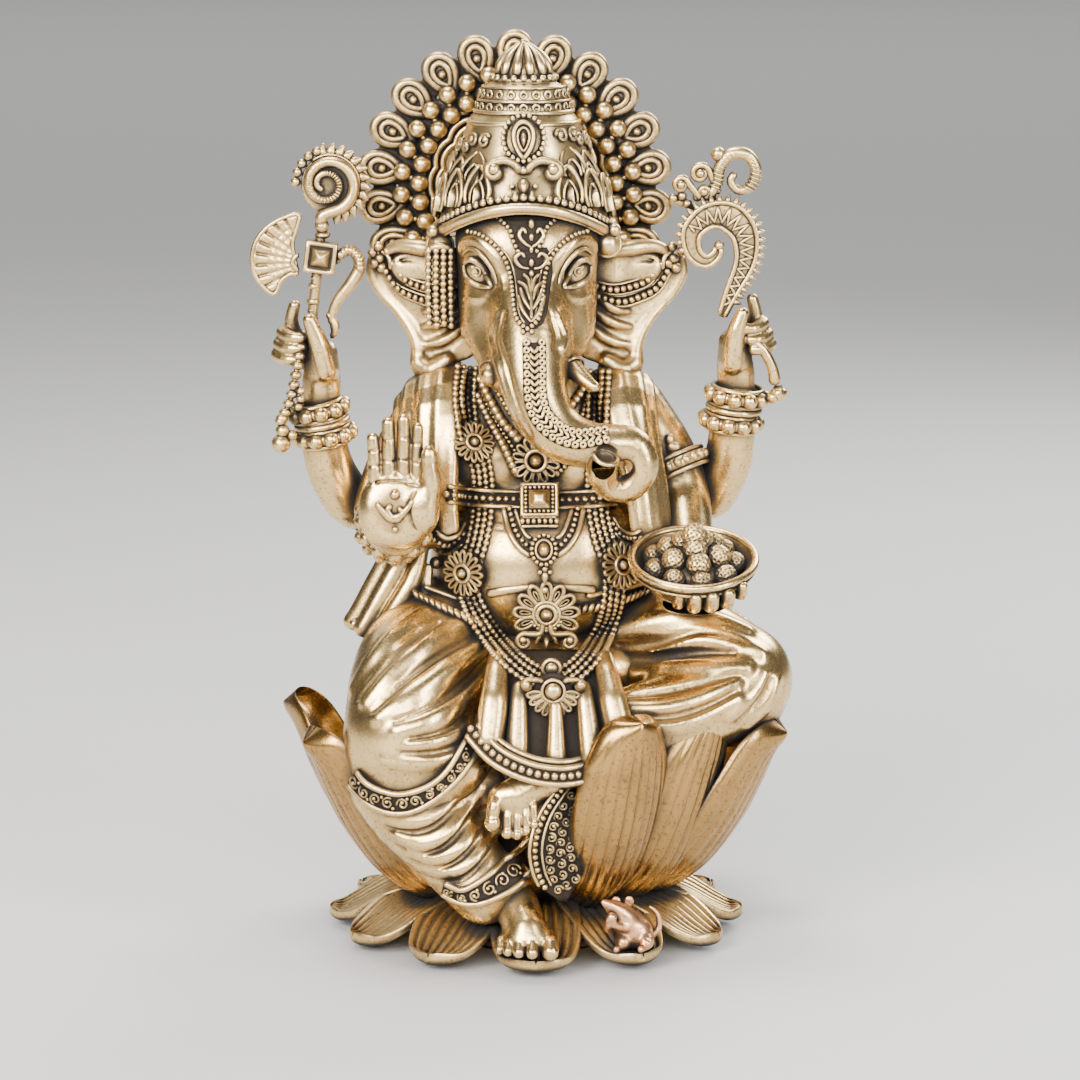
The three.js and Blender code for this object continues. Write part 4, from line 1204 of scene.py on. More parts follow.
def leaf(width, height, depth):
    """A pointed leaf with a ridge down its middle, its foot at the origin."""
    t = np.linspace(0, 1, 19)
    half = width / 2 * np.clip(1 - np.abs((t - 0.38) / 0.62) ** 2.1, 0.01, 1)
    half[t < 0.38] = width / 2 * (1 - 0.3 * ((0.38 - t[t < 0.38]) / 0.38) ** 2)
    rings = []
    for h, z in zip(half, t * height):
        v = np.linspace(-1, 1, 11)
        top = depth * ((1 - np.abs(v)) ** 1.2 * 0.75 + 0.25 * (1 - v**8)) * min(1, h * 3 / width + 0.15)
        upper = np.stack([v * h, -top, np.full(11, z)], 1)
        lower = np.stack([v[::-1] * h, np.full(11, 0.35), np.full(11, z)], 1)
        rings.append(np.vstack([upper, lower]))
    return loft(rings)


# ---- Crown and halo --------------------------------------------------------------------------
CROWN_X, CROWN_Y = -2.2, 0.5
CROWN_PROFILE = [[15.2, 129.5], [15.3, 133], [14.4, 137.5], [12.5, 142], [11.5, 146.5], [10.2, 150.6],
                 [8.9, 152.4]]


def crown_at(turn, z):
    """The point on the crown's dome at an angle from the front, and axes that lie on it."""
    profile = np.array(CROWN_PROFILE)
    r = np.interp(z, profile[:, 1], profile[:, 0])
    above, below = np.interp([z + 0.5, z - 0.5], profile[:, 1], profile[:, 0])
    slope = above - below
    out = np.array([math.sin(turn), -math.cos(turn), 0])
    up = unit(out * slope + np.array([0, 0, 1.0]))
    right = np.array([math.cos(turn), math.sin(turn), 0])
    axes = np.stack([right, np.cross(up, right), up])
    return np.array([CROWN_X, CROWN_Y, z]) + out * r, axes


def round_crown(turn, r, z):
    """Points round the crown's axis, at turns from the front."""
    turn, r, z = np.broadcast_arrays(turn, r, z)
    return np.stack([CROWN_X + r * np.sin(turn), CROWN_Y - r * np.cos(turn), z], 1)


def crown_ring(z, radius, thick):
    """A level wire round the crown."""
    return hoop((CROWN_X, CROWN_Y, z), (0, 0, 1), radius, thick, 8, 72, up=(0, 1, 0))


def on_crown(shell, turn, z, lift=0.0):
    """An ornament laid on the crown's dome."""
    place, axes = crown_at(turn, z)
    return shell.placed(axes, place - axes[1] * lift)


def brim_line(lift=0.0, out=0.0, count=80, reach=2.2):
    """The crown's rim, which arches up over the forehead."""
    turn = np.linspace(-reach, reach, count)
    z = 129.6 + 6.8 * np.cos(np.clip(turn, -1.75, 1.75) * 0.9) ** 2 + lift
    return round_crown(turn, 15.9 + out, z)


def arch(width, height, radius):
    """The raised outline of a pointed leaf."""
    half = [(-width * 0.46, -0.3, 0), (-width * 0.54, -0.3, height * 0.34),
            (-width * 0.34, -0.3, height * 0.72), (0, -0.3, height)]
    return join(*[rod(np.array(half) * [s, 1, 1], radius, 0.4, 8) for s in (-1, 1)])


def crown():
    turn = np.arange(96) * TURN / 96
    foot = np.interp(np.minimum(turn, TURN - turn), np.linspace(0, 2.2, 80),
                     brim_line(reach=2.2, count=159)[79:, 2])
    profile = np.array(CROWN_PROFILE)
    rings = []
    for t in np.linspace(0, 1, 44):
        z = foot * (1 - t) + 152.8 * t
        r = np.interp(z, profile[:, 1], profile[:, 0])
        rings.append(round_crown(turn, r, z))
    parts = [loft([rings[0] * 0.5 + [CROWN_X * 0.5, CROWN_Y * 0.5, 66.0], *rings])]
    parts.append(tube(brim_line(out=0.3), 0.95, 10))
    parts.append(bead_row(brim_line(1.75, 0.15), 0.72, 1.05))
    parts.append(tube(brim_line(-0.9, 0.1), 0.4, 8))
    back = round_crown(np.linspace(2.15, TURN - 2.15, 40), 16.0, 130.2)
    parts += [tube(back, 0.95, 10), bead_row(back + [0, 0, 1.7], 0.72, 1.05)]
    for i in range(16):  # tall leaves round the foot of the dome, and a second row behind them
        turn = TURN * (i + 0.5) / 16
        foot = 133.4 + 3.6 * max(math.cos(min(turn, TURN - turn) * 0.95), -0.5)
        if min(turn, TURN - turn) > 0.45:
            tall = join(arch(4.8, 7.2, 0.42), arch(2.7, 4.6, 0.3), leaf(1.7, 3.4, 1.5))
            parts.append(on_crown(tall, turn, foot, 0.5))
        turn += TURN / 32
        if min(turn, TURN - turn) > 0.5:
            parts.append(on_crown(join(arch(5.4, 6.0, 0.4), arch(3.0, 3.6, 0.3)), turn, foot + 4.6, 0.2))
            curl = spiral(1.35, 1.1, 0.42, 0, 1)
            parts.append(on_crown(rotated(curl, 0.6), turn + 0.13, foot + 12.0, 0.4))
            parts.append(on_crown(flipped(curl), turn - 0.13, foot + 12.0, 0.4))
    parts += [crown_ring(150.6, 9.9, 0.55), crown_ring(152.6, 8.9, 0.45)]

    # the medallion over the forehead: a bead ring round a nested drop, on a curled lily
    oval = disc(1, 40) * [3.7, 4.2]
    recess = pad(oval * 0.86, 0.25)
    ring = bead_row(in_plane(oval, -0.5), 0.5, 1.05, closed=True)
    drop = join(wire_loop(drop_outline(4.4, 6.6), 0.5).moved((0, -0.6, -0.4)),
                wire_loop(drop_outline(2.6, 4.4), 0.3).moved((0, -0.6, -0.3)),
                pad(drop_outline(1.5, 3.2), 1.3).moved((0, -0.1, -0.4)))
    parts.append(on_crown(join(recess, ring, drop), 0, 148.2, 0.3))
    for hand in (-1, 1):
        arm = spiral(1.6, 1.05, 0.8, math.pi / 2, -1, tail=[(-4.9, -0.5), (-3.8, 1.2), (-1.9, 2.0)])
        arm = arm.moved((5.2, 0, -0.4))
        if hand < 0:
            arm = flipped(arm)
        parts.append(on_crown(arm, 0, 142.8, 0.7))
        parts.append(on_crown(beads([(hand * 2.1, 0, 0), (hand * 1.5, 0, -1.5)], 0.55), 0, 139.8, 0.5))
    parts.append(on_crown(pad(drop_outline(2.6, 3.6), 1.4), 0, 139.6, 0.3))
    parts.append(on_crown(beads([(0, 0, 0)], 0.75), 0, 142.6, 0.9))

    # tiers and the fluted finial
    steps = spline([[8.8, 152.6], [8.6, 153.6], [8.0, 154.4], [8.1, 155], [7.6, 156.6], [6.9, 157.2],
                    [6.0, 157.8], [5.6, 158.6], [0.01, 158.8]], 60)
    parts.append(lathe(steps, 80, (CROWN_X, CROWN_Y, 0)))
    for z, r, n in ((153.5, 8.7, 24), (155.8, 8.0, 22)):  # small rings that stand round each tier
        for a in TURN * np.arange(n) / n:
            out = np.array([math.sin(a), -math.cos(a), 0])
            parts.append(hoop(np.array([CROWN_X, CROWN_Y, z]) + out * r, out, 0.6, 0.26, 6, 14))
    parts += [crown_ring(z, r, 0.3) for z, r in ((152.4, 8.9), (154.6, 8.3), (157.0, 7.4))]
    parts.append(beads(round_crown(np.arange(20) * TURN / 20, 5.7, 158.6), 0.68))
    flute = rod([(0, -4.6, 158.8), (0, -4.5, 160.4), (0, -3.4, 162.4), (0, -1.7, 164.0), (0, -0.5, 164.9)],
                [0.7, 0.95, 0.8, 0.5, 0.3], 0.3, 10)
    bud = spline([[4.7, 158.4], [4.4, 160.4], [3.2, 162.4], [1.5, 164.0], [0.01, 165.0]], 24)
    parts.append(lathe(bud, 48, (CROWN_X, CROWN_Y, 0)))
    for i in range(12):
        parts.append(flute.placed(spin(0, 1, TURN * (i + 0.5) / 12), (CROWN_X, CROWN_Y, 0)))
    parts.append(ball((CROWN_X, CROWN_Y, 164.9), 0.7))
    for side, z in ((-1, 128.6), (1, 128.9)):  # knobs that close the rim at the temples
        knob = np.array([CROWN_X + side * 15.2, CROWN_Y - 5.6, z])
        parts += [ball(knob, 2.3, 3), ball(knob + [side * 1.2, -1.0, 2.6], 1.2),
                  hoop(knob, (0, -1, 0.2), 2.3, 0.35)]
    # the crown wears the brighter halo brass, as painted light
    piece("crown", join(*parts), "polished_brass", nodes=["crown"], look="halo_brass_painted_light")


HALO_CENTRE, HALO_Y = (-3.9, 137.6), 11.0
HALO_FIRST, HALO_LAST, HALO_EYES = -24.0, 204.0, 15  # its ends in degrees, and how many feather eyes


def halo():
    cx, cz = HALO_CENTRE

    def at(angle, r, y=0.0):
        return np.array([cx + r * math.cos(angle), HALO_Y + y, cz + r * math.sin(angle)])

    clay = Clay((-34, 8, 118), (26, 16, 168), 0.4)
    angles = np.radians(np.linspace(HALO_FIRST - 6, HALO_LAST + 6, 60))
    clay.sheet(circle_points(HALO_CENTRE, 21.5, angles) + circle_points(HALO_CENTRE, 11.5, angles[::-1]),
               12.3, 1.8)
    eye = join(wire_loop(drop_outline(6.0, 7.4, 36), 0.95),
               wire_loop(drop_outline(3.5, 4.6, 32), 0.6).moved((0, -0.7, 0.1)),
               pad(drop_outline(4.6, 6.0, 36), 0.5), pad(disc(0.95, 20), 1.2).moved((0, -0.3, 0.2)))
    parts = []
    eye_angles = np.radians(np.linspace(HALO_FIRST, HALO_LAST, HALO_EYES))
    for a in eye_angles:
        clay.ball(at(a, 24.4, 1.3), (3.9, 0.9, 3.9), 0.5)
        parts.append(rotated(eye, a - math.pi / 2).moved(at(a, 24.6, -0.3)))
    for i, a in enumerate(np.radians(np.linspace(-28, 208, 22))):  # pairs of beads, slanted towards the top
        step = math.radians(2.6) * (1 if i < 11 else -1)
        pair = np.array([at(a + step, 21.4, -1.3), at(a - step, 18.2, -1.3)]) + [0.5, 0, 0]
        parts.append(beads(pair, 1.72, 3))
        parts.append(rod(pair, 0.6, 0.5, 8))
        parts += [rod([p, p + [0, 2.2, 0]], 0.9, 0.6, 8) for p in pair]
    lobes = 11
    for r, thick, y in ((16.6, 0.75, -0.6), (15.0, 0.6, -0.9), (13.6, 0.5, -0.9)):  # scalloped wires
        a = np.radians(np.linspace(HALO_FIRST - 4, HALO_LAST + 4, 260))
        wave = r + 0.75 * np.abs(np.sin((a - a[0]) / (a[-1] - a[0]) * lobes * math.pi)) ** 0.7
        line = np.stack([cx + wave * np.cos(a), np.full(260, HALO_Y + y), cz + wave * np.sin(a)], 1)
        parts.append(tube(line, thick))
    # the back: rays between the eyes and a plain rim
    for a in eye_angles:
        parts.append(rod([at(a, 13, 2.4), at(a, 20, 2.6), at(a, 26.5, 2.3)], [0.5, 0.9, 0.5], 0.6, 8, 0.7))
    # the halo wears the brighter brass, as painted light
    piece("halo", join(clay.skin(1), *parts), nodes=["halo"], look="halo_brass_painted_light")


# ---- Ears and tusks --------------------------------------------------------------------------
EAR = [(-12.0, 124.0), (-19.4, 125.2), (-24.5, 126.2), (-28.1, 125.4), (-29.9, 123.6), (-30.1, 121.0),
       (-28.1, 117.3), (-24.8, 113.7), (-22.7, 110.7), (-21.5, 107.6), (-21.2, 104.0), (-18.9, 102.3),
       (-15.0, 104.4), (-10.5, 108.0)]
EAR_RIM = [(-13.5, 124.4), (-19.4, 125.3), (-24.5, 126.0), (-27.8, 125.0)]
EAR_CORNER = (-28.6, 123.9)
EAR_STRINGS = [[(-28.0, 122.6), (-25.6, 118.6), (-21.9, 116.6), (-18.6, 115.8), (-14.7, 116.8)],
               [(-26.2, 122.8), (-23.8, 119.8), (-20.5, 118.4), (-17.4, 117.9), (-14.4, 118.6)]]
EAR_SHELL = [(-25.6, 123.0), (-23.0, 123.6), (-20.0, 122.0), (-18.6, 119.6)]
EAR_CREASES = [[(-20.4, 112.6), (-17.6, 113.0), (-14.6, 115.4)],
               [(-20.6, 109.8), (-17.2, 110.6), (-13.4, 113.2)],
               [(-20.2, 106.6), (-16.6, 107.4), (-12.6, 110.6)]]
EAR_MIDDLE = -1.7


def ear(name, side):
    def depth(x):
        away = np.abs(np.asarray(x) - EAR_MIDDLE)
        return np.interp(away, [10, 16, 22, 28], [-1.0, -1.6, 0.6, 3.2])

    def place(p, lift=0.0):
        p = np.array([((x - EAR_MIDDLE) * -side + EAR_MIDDLE, rise) for x, rise in p])
        return held_line(np.stack([p[:, 0], p[:, 1], depth(p[:, 0]) - lift], 1))

    line = place(EAR)
    clay = Clay(line.min(0) - [2, 5, 2], line.max(0) + [2, 5, 2], 0.32)
    outline = closed_curve(line[:, [0, 2]], 60)[:, [0, 2]]
    clay.sheet(outline, lambda x, z: depth(x) + 0.9, 1.8, edge=0.7)
    clay.bar(place(EAR[4:12], 0.0) + [0, 0.5, 0], [1.1, 1.2, 1.1, 1.0, 0.9, 1.1, 1.8, 1.6], 0.8)
    clay.bar(place([(-21.4, 104.6), (-19.0, 103.4), (-16.4, 105.2)], 0.4), [1.4, 2.0, 1.4], 0.9)
    slant = [[0.86, 0, 0.5 * side], [0, 1, 0], [-0.5 * side, 0, 0.86]]
    clay.ball(place([(-22.6, 121.6)], -0.4)[0], (4.2, 1.3, 3.0), 1.0, slant)
    clay.bar(place(EAR_SHELL, 0.9), [0.25, 0.4, 0.45, 0.25], 0.4, dig=True)
    for crease in EAR_CREASES:
        clay.bar(place(crease, 0.5), [0.25, 0.85, 0.6], 0.6, dig=True)
        clay.bar(place([(x, r + 1.5) for x, r in crease], 0.2), [0.4, 0.9, 0.6], 0.8)
    parts = [clay.skin(1), rod(place(EAR_RIM, 0.5), [0.9, 1.45, 1.4, 1.0], 0.5, 12)]
    corner = place([EAR_CORNER], 1.2)[0]
    cluster = [(0, 0, 0), (1.5, -0.2, 1.3), (-1.3, 0.2, 0.9), (-0.2, -0.3, 2.2), (0.4, 0, -1.7),
               (-1.0, 0, -0.9)]
    parts.append(beads(corner + cluster, 0.95, 2))
    parts.append(rod(place([(-28.9, 125.6), (-27.0, 124.2), (-26.4, 121.6)], 1.0), 0.5, 0.5, 8))
    for string in EAR_STRINGS:
        p = spline(place(string, 1.0), 30)
        parts.append(bead_row(p, 0.62, 1.05))
        parts += [rod(p + [0.3 * edge, 0.5, -0.9 * edge], 0.3, 0.5, 6) for edge in (1, -1)]
    piece(name, join(*parts), nodes=[name])


def tusks():
    right = rod([(-6.4, -11, 109.5), (-8.0, -15.4, 106.8), (-9.0, -17.8, 105.2)], [2.4, 2.1, 1.9], 0.4, 20)
    left = rod([(4.8, -12, 109), (8.0, -16.4, 106.2), (11.2, -19, 104.0)], [2.4, 1.9, 0.8], 0.4, 20)
    right_collar = hoop((-7.9, -15.0, 106.9), (-0.4, -0.8, -0.5), 2.3, 0.3)
    left_collar = hoop((6.6, -14.4, 107.4), (0.5, -0.7, -0.5), 2.3, 0.3)
    piece("right_tusk", join(right, right_collar), "polished_brass", nodes=["right_tusk"])
    piece("left_tusk", join(left, left_collar), "polished_brass", nodes=["left_tusk"])


# ---- Arms and hands --------------------------------------------------------------------------
def bangle(centre, normal, radius, bead):
    """A row of round beads round a limb between two plain rings."""
    n = unit(normal)
    parts = [bead_row(circle(centre, normal, radius, 96), bead, 1.0, 2, closed=True),
             hoop(centre, n, radius - bead * 0.35, bead * 0.75)]
    for side in (-1, 1):
        parts.append(hoop(np.asarray(centre) + n * side * bead * 0.95, n, radius - bead * 0.25, bead * 0.33))
    return join(*parts)


def limb_piece(name, points, radii, ornaments=(), hand=None):
    """A smooth arm, with the bangles that it wears. hand is a ball at its end: centre, radii and k."""
    p = np.asarray(points, float)
    clay = Clay(p.min(0) - max(radii) - 2, p.max(0) + max(radii) + 2)
    clay.bar(p, radii, 0, fine=4)
    if hand:
        clay.ball(*hand)
    show(name, join(clay.skin(2), *ornaments), "polished_brass", nodes=[name])


# the middle of each rear arm, then its two bead bangles and two plain ones: centre, and lean in x
REAR_ARMS = [
    ("rear_right_arm",
     [(-15, 8, 93), (-25, 9, 82.5), (-33, 7, 79), (-37.2, 3, 84.5), (-39, 1.0, 91), (-39.4, 0.5, 96)],
     [((-38.9, 0.8, 93.0), -0.16), ((-40.2, 0.6, 97.7), -0.2), ((-39.4, 0.7, 95.3), -0.18),
      ((-39.5, 0.7, 96.0), -0.18)]),
    ("rear_left_arm",
     [(14, 8, 93), (23, 9, 83.5), (31.2, 7, 80.6), (35.2, 3, 87), (36.2, 1.0, 94), (36.8, 0.5, 99)],
     [((35.9, 0.8, 95.6), 0.12), ((37.0, 0.6, 100.4), 0.12), ((36.4, 0.7, 98.0), 0.12),
      ((36.5, 0.7, 98.8), 0.12)]),
]


def rear_arms():
    for name, line, rings in REAR_ARMS:
        low, high, thick, thin = [(centre, (lean, -0.1, 1)) for centre, lean in rings]
        bangles = [bangle(*low, 4.9, 1.45), bangle(*high, 4.9, 1.45), hoop(*thick, 4.6, 0.7, 10),
                   hoop(*thin, 4.4, 0.5)]
        limb_piece(name, line, [5.5, 5.6, 5.4, 5.0, 4.4, 4.0], bangles)


# Each rear hand: the corners of its clay; its palm, forefinger and little finger as [x, rise, y] places,
# radii, k and flatness; the places of its three curled fingers; how they run from there; and their radii.
RIGHT_HAND = (
    ((-52, -9, 94), (-32, 8, 122)),
    [([(-39.4, 97.0, 0.5), (-39.4, 101.5, 0.2), (-39.2, 106.4, -0.5)], [3.3, 3.6, 2.9], 0, ((0, 1, 0), 0.8)),
     ([(-38.6, 103.5, -2.0), (-39.8, 108.5, -3.4), (-41.3, 112.4, -4.0)], [2.3, 2.0, 1.25], 1.2, None),
     ([(-43.0, 107.6, 1.0), (-44.8, 112.0, 0.2), (-44.2, 115.2, -0.5)], [1.4, 1.35, 1.1], 0.8, None)],
    [(-45.6, 110.4), (-46.2, 108.4), (-46.6, 106.4)],
    [(4.0, -1.4, 1.5), (-0.6, 0, 0.0), (0.6, -1.0, -2.8), (2.6, -1.2, -3.6)],
    [1.4, 1.45, 1.3, 1.0],
)
LEFT_HAND = (
    ((30, -9, 96), (48, 8, 122)),
    [([(37, 99.8, 0.5), (36.6, 104.0, 0.2), (36.2, 108.4, -0.5)], [3.2, 3.5, 2.8], 0, ((0, 1, 0), 0.8)),
     ([(36.0, 105.0, -2.2), (36.4, 109.8, -3.4), (37.6, 113.6, -3.8)], [2.3, 2.0, 1.2], 1.2, None),
     ([(39.0, 108.6, 1.0), (40.2, 113.2, 0.0), (39.6, 116.4, -0.5)], [1.3, 1.3, 1.1], 0.8, None)],
    [(40.8, 112.2), (41.6, 110.2), (42.2, 108.4)],
    [(-4.0, -1.2, 1.5), (0.6, 0, 0.0), (-0.6, -1.2, -2.8), (-2.4, -1.4, -3.4)],
    [1.3, 1.4, 1.2, 1.0],
)


def rear_hand(corners, bars, knuckles, run, radii):
    """The skin of a rear hand."""
    clay = Clay(*corners, 0.3)
    for places, bar_radii, k, flat in bars:
        clay.bar(held_line(places), bar_radii, k, flat)
    for x, rise in knuckles:
        clay.bar(held_line([(x + dx, rise + up, y) for dx, up, y in run]), radii, 0.35)
    return clay.skin(2)


def rear_hands():
    piece("rear_right_hand", rear_hand(*RIGHT_HAND), "polished_brass", nodes=["rear_right_hand"])
    goad = held_line([(39.6, 109.0, -3.2), (41.6, 106.8, -3.4), (43.2, 103.8, -3.0), (43.9, 100.6, -2.4)])
    barb = held_line([(43.6, 100.4, -2.4), (44.6, 99.2, -2.4), (46.0, 99.6, -2.4)])
    stick = join(rod(goad, [0.8, 0.95, 1.0, 1.2], 0.4, 12), rod(barb, [1.4, 1.9, 0.8], 0.3, 12),
                 ball(held(43.4, 98.4, -2.6), 1.2))
    piece("rear_left_hand", join(rear_hand(*LEFT_HAND), stick), "polished_brass", nodes=["rear_left_hand"])


# the pads of the raised palm: x, rise, how far forward, radii and k
PALM = [(-24.6, 77.8, 0, (6.6, 2.7, 7.2), 0), (-25.2, 79.6, 0, (5.6, 2.6, 5.6), 1.2),
        (-20.6, 77.6, 1.2, (3.4, 2.6, 4.6), 1.6), (-29.0, 76.8, 0.6, (2.4, 2.2, 4.6), 1.6),
        (-24.8, 73.4, 0.4, (4.2, 2.4, 2.6), 1.6)]
# its fingers: x, the rise of the tip, and radius
FINGERS = [(-28.8, 91.6, 1.22), (-26.2, 94.4, 1.3), (-23.6, 95.0, 1.3), (-21.2, 93.4, 1.12)]


def front_right():
    arm = [(-18.5, 3, 97), (-25, 2, 87), (-28.0, -1, 79), (-26.8, -9, 77.5), (-25.6, -17, 79.5),
           (-25.2, -20.5, 81)]
    wrist, way = (-25.3, -18.3, 79.9), (0.05, -1, 0.12)
    bangles = [bangle(wrist, way, 5.9, 1.5), bangle((-25.8, -14.6, 79.0), way, 6.4, 1.25),
               hoop((-25.2, -20.6, 80.3), way, 5.3, 0.5), hoop((-25.2, -21.6, 80.5), way, 5.0, 0.4)]
    limb_piece("front_right_arm", arm, [6.8, 6.6, 6.0, 5.2, 4.7, 4.4], bangles)

    y = -24.0
    hand = Clay((-35, -31, 72), (-14, -18, 106), 0.28)
    for x, rise, forward, radii, k in PALM:
        hand.ball(held(x, rise, y - forward), radii, k)
    for x, top, r in FINGERS:
        tip = (x + (x + 24.6) * 0.06, top - r)
        hand.bar(upright([(x, 81.0), (x, 86.5), tip], y - 0.5), [r * 1.05, r, r * 0.9], 0.15)
        for t in (0.3, 0.62):  # the creases at the joints
            joint = (x + (tip[0] - x) * t, 83.0 + (top - 83.0) * t)
            fold(hand, [(joint[0] - r, joint[1]), (joint[0] + r, joint[1])], 0.16, 0.0, 0.15, dig=True)
    thumb = held_line([(-20.0, 78.5, y - 1.0), (-18.7, 82.4, y - 1.6), (-18.9, 85.4, y - 2.0)])
    hand.bar(thumb, [2.4, 1.9, 1.5], 1.0)
    hand.ball(held(-19.0, 87.0, y - 2.2), (1.45, 1.3, 2.2), 0.3)
    fold(hand, [(-29.9, 82.4), (-25.0, 82.9), (-20.6, 82.2)], 0.25, 0.1, 0.3, dig=True)
    fold(hand, [(-21.6, 80.8), (-22.9, 77.6), (-21.4, 74.0)], [0.2, 0.35, 0.2], 0.1, 0.4, dig=True)
    show("blessing_hand", hand.skin(1), "polished_brass", nodes=["blessing_hand"])
    curl = np.array([(-28.4, 79.0), (-27.4, 77.6), (-26.0, 76.2), (-24.6, 76.0), (-23.8, 77.2),
                     (-24.6, 78.2)])
    curls = [rod(front.on(spline(line, 30), 0.1, 3), [0.4, 0.62, 0.7, 0.6, 0.5], 0.3, 10)
             for line in (curl, curl * [-1, 1] + [-50.2, 0.4])]
    buds = beads(front.on([(-25.1, 80.4), (-25.1, 74.2)], 0.2), [0.9, 0.6], 2)
    piece("palm_curls", join(*curls, buds), "polished_brass", nodes=["blessing_hand"])


def front_left():
    arm = [(17.5, 3, 97), (23.4, 2, 89), (26.6, 0, 81.5), (27.6, -8, 74.5), (28.4, -16, 68.5)]
    limb_piece("front_left_arm", arm, [6.8, 6.2, 5.4, 4.9, 4.0], hand=((28.5, -21, 66.2), (7, 6.4, 2.6), 3))
    centre, way = (24.9, 0.8, 86.4), unit((0.42, -0.25, -0.86))
    parts = [hoop(centre, way, 6.5, 1.3, 10, 48)]
    parts += [hoop(np.array(centre) + way * d, way, 6.9, 0.45, 8, 64) for d in (-1.5, 1.5)]
    parts.append(beads(along(circle(centre, way, 7.3, 60), 26), 0.95))
    for i, lift in enumerate((3.0, 4.8, 6.4)):  # the pointed plate above the armlet
        place = np.array(centre) - way * lift + unit((0.35, -0.9, 0.1)) * (6.3 + 0.1 * i)
        parts.append(ball(place, (1.9 - 0.5 * i, 0.8, 1.2)))
    piece("armlet", join(*parts), nodes=["front_left_arm"])
    fingers = Clay((18, -38, 56), (44, -14, 74), 0.3)
    for x, rise, r in ((25.4, 61.2, 1.2), (28.2, 60.7, 1.45), (31.2, 60.9, 1.5), (34.1, 61.5, 1.4),
                       (36.6, 62.8, 1.15)):
        y = -31.4 + 0.05 * (x - 30) ** 2
        finger = [(x * 0.9 + 3, rise + 0.6, y + 8), (x, rise - 0.2, y + 2), (x + 0.2, rise + 1.2, y - 0.4)]
        fingers.bar(held_line(finger), [r, r, r * 0.85], 0.2)
    fingers.bar(held_line([(28.5, 66, -17), (30, 63.2, -21.5)]), [4, 3.4], 1.5)
    piece("hand_under_bowl", fingers.skin(1), "polished_brass", nodes=["front_left_arm"])


BOWL, BOWL_TILT = (28.3, -22.0, 73.6), math.radians(19)
# rings of sweets: how many, their distance from the middle, their height and their size
SWEET_RINGS = [(9, 7.3, -0.6, 2.1), (6, 4.6, 1.5, 2.3), (3, 1.9, 3.2, 2.3), (1, 0.0, 5.0, 2.4)]


def bowl_and_sweets():
    axes = spin(1, 2, BOWL_TILT)
    profile = [[0.02, -6.7], [3.2, -6.7], [4.0, -6.3], [6.2, -5.6], [9.3, -3.4], [11.2, -0.5], [11.55, 0.3],
               [11.2, 0.9], [10.6, 0.7], [10.0, -0.2], [8.2, -2.6], [4.5, -4.2], [0.02, -4.6]]
    parts = [lathe(spline(profile, 90), 120), hoop((0, 0, 0.35), (0, 0, 1), 11.1, 0.75, 12, 96, up=(0, 1, 0))]
    parts += [hoop((0, 0, z), (0, 0, 1), r, 0.3, 8, 96, up=(0, 1, 0)) for z, r in ((-1.2, 11.0), (-4.9, 7.6))]
    piece("sweets_bowl", join(*parts).placed(axes, BOWL), "polished_brass", nodes=["sweets_bowl"])

    # a sweet: a round ball with pits scattered evenly over it
    pit_count, pit_size, pit_depth = 90, 0.13, 0.11
    k = np.arange(pit_count) + 0.5
    lat, lon = np.arccos(1 - 2 * k / pit_count), math.pi * (1 + 5**0.5) * k
    pits = np.stack([np.sin(lat) * np.cos(lon), np.sin(lat) * np.sin(lon), np.cos(lat)], 1)
    t = np.linspace(-1.55, 1.55, 40)
    plain = lathe(np.stack([np.cos(t), np.sin(t)], 1), 64)
    near = (unit(plain.corners) @ pits.T).max(1)
    depth = pit_depth * np.clip((near - math.cos(pit_size)) / (1 - math.cos(pit_size)), 0, 1) ** 0.6
    sweet = Shell(plain.corners * (1 - depth)[:, None], plain.quads, plain.tris)
    parts = [ball((0, 0, -1.5), (7, 7, 3))]
    for ring, (count, radius, lift, size) in enumerate(SWEET_RINGS):
        for i in range(count):
            a = TURN * (i + 0.5 * (ring % 2) + 0.15 * ring) / count
            turned = spin(0, 1, i) @ spin(1, 2, i)
            parts.append(sweet.scaled(size).placed(turned, (radius * math.cos(a), radius * math.sin(a),
                                                            lift)))
    piece("sweets", join(*parts).placed(axes, BOWL), nodes=["sweets"])


# ---- What the rear hands hold ----------------------------------------------------------------
def square_edge(width, height, steps):
    """Points round an upright rectangle, [x, z] about its middle, with steps to each side."""
    corners = np.array([(-width, -height), (width, -height), (width, height), (-width, height)]) / 2
    return np.vstack([np.linspace(a, b, steps + 1)[:-1] for a, b in zip(corners, np.roll(corners, -1, 0))])


def stepped_block(profile, steps, tall=1.0):
    """A square block whose rings are given as [half width, y]."""
    return loft([in_plane(square_edge(2 * half, 2 * half * tall, steps), y) for half, y in profile])


# the knobs on the axe's shaft: x, rise, radius and half height
SHAFT_KNOBS = [(-38.9, 127.9, 1.45, 0.75), (-40.2, 120.2, 1.0, 0.5), (-40.5, 118.7, 1.15, 0.8),
               (-40.5, 117.3, 0.9, 0.5), (-40.7, 115.9, 1.2, 0.9), (-40.9, 114.3, 0.95, 0.5),
               (-41.0, 112.9, 1.2, 0.9)]


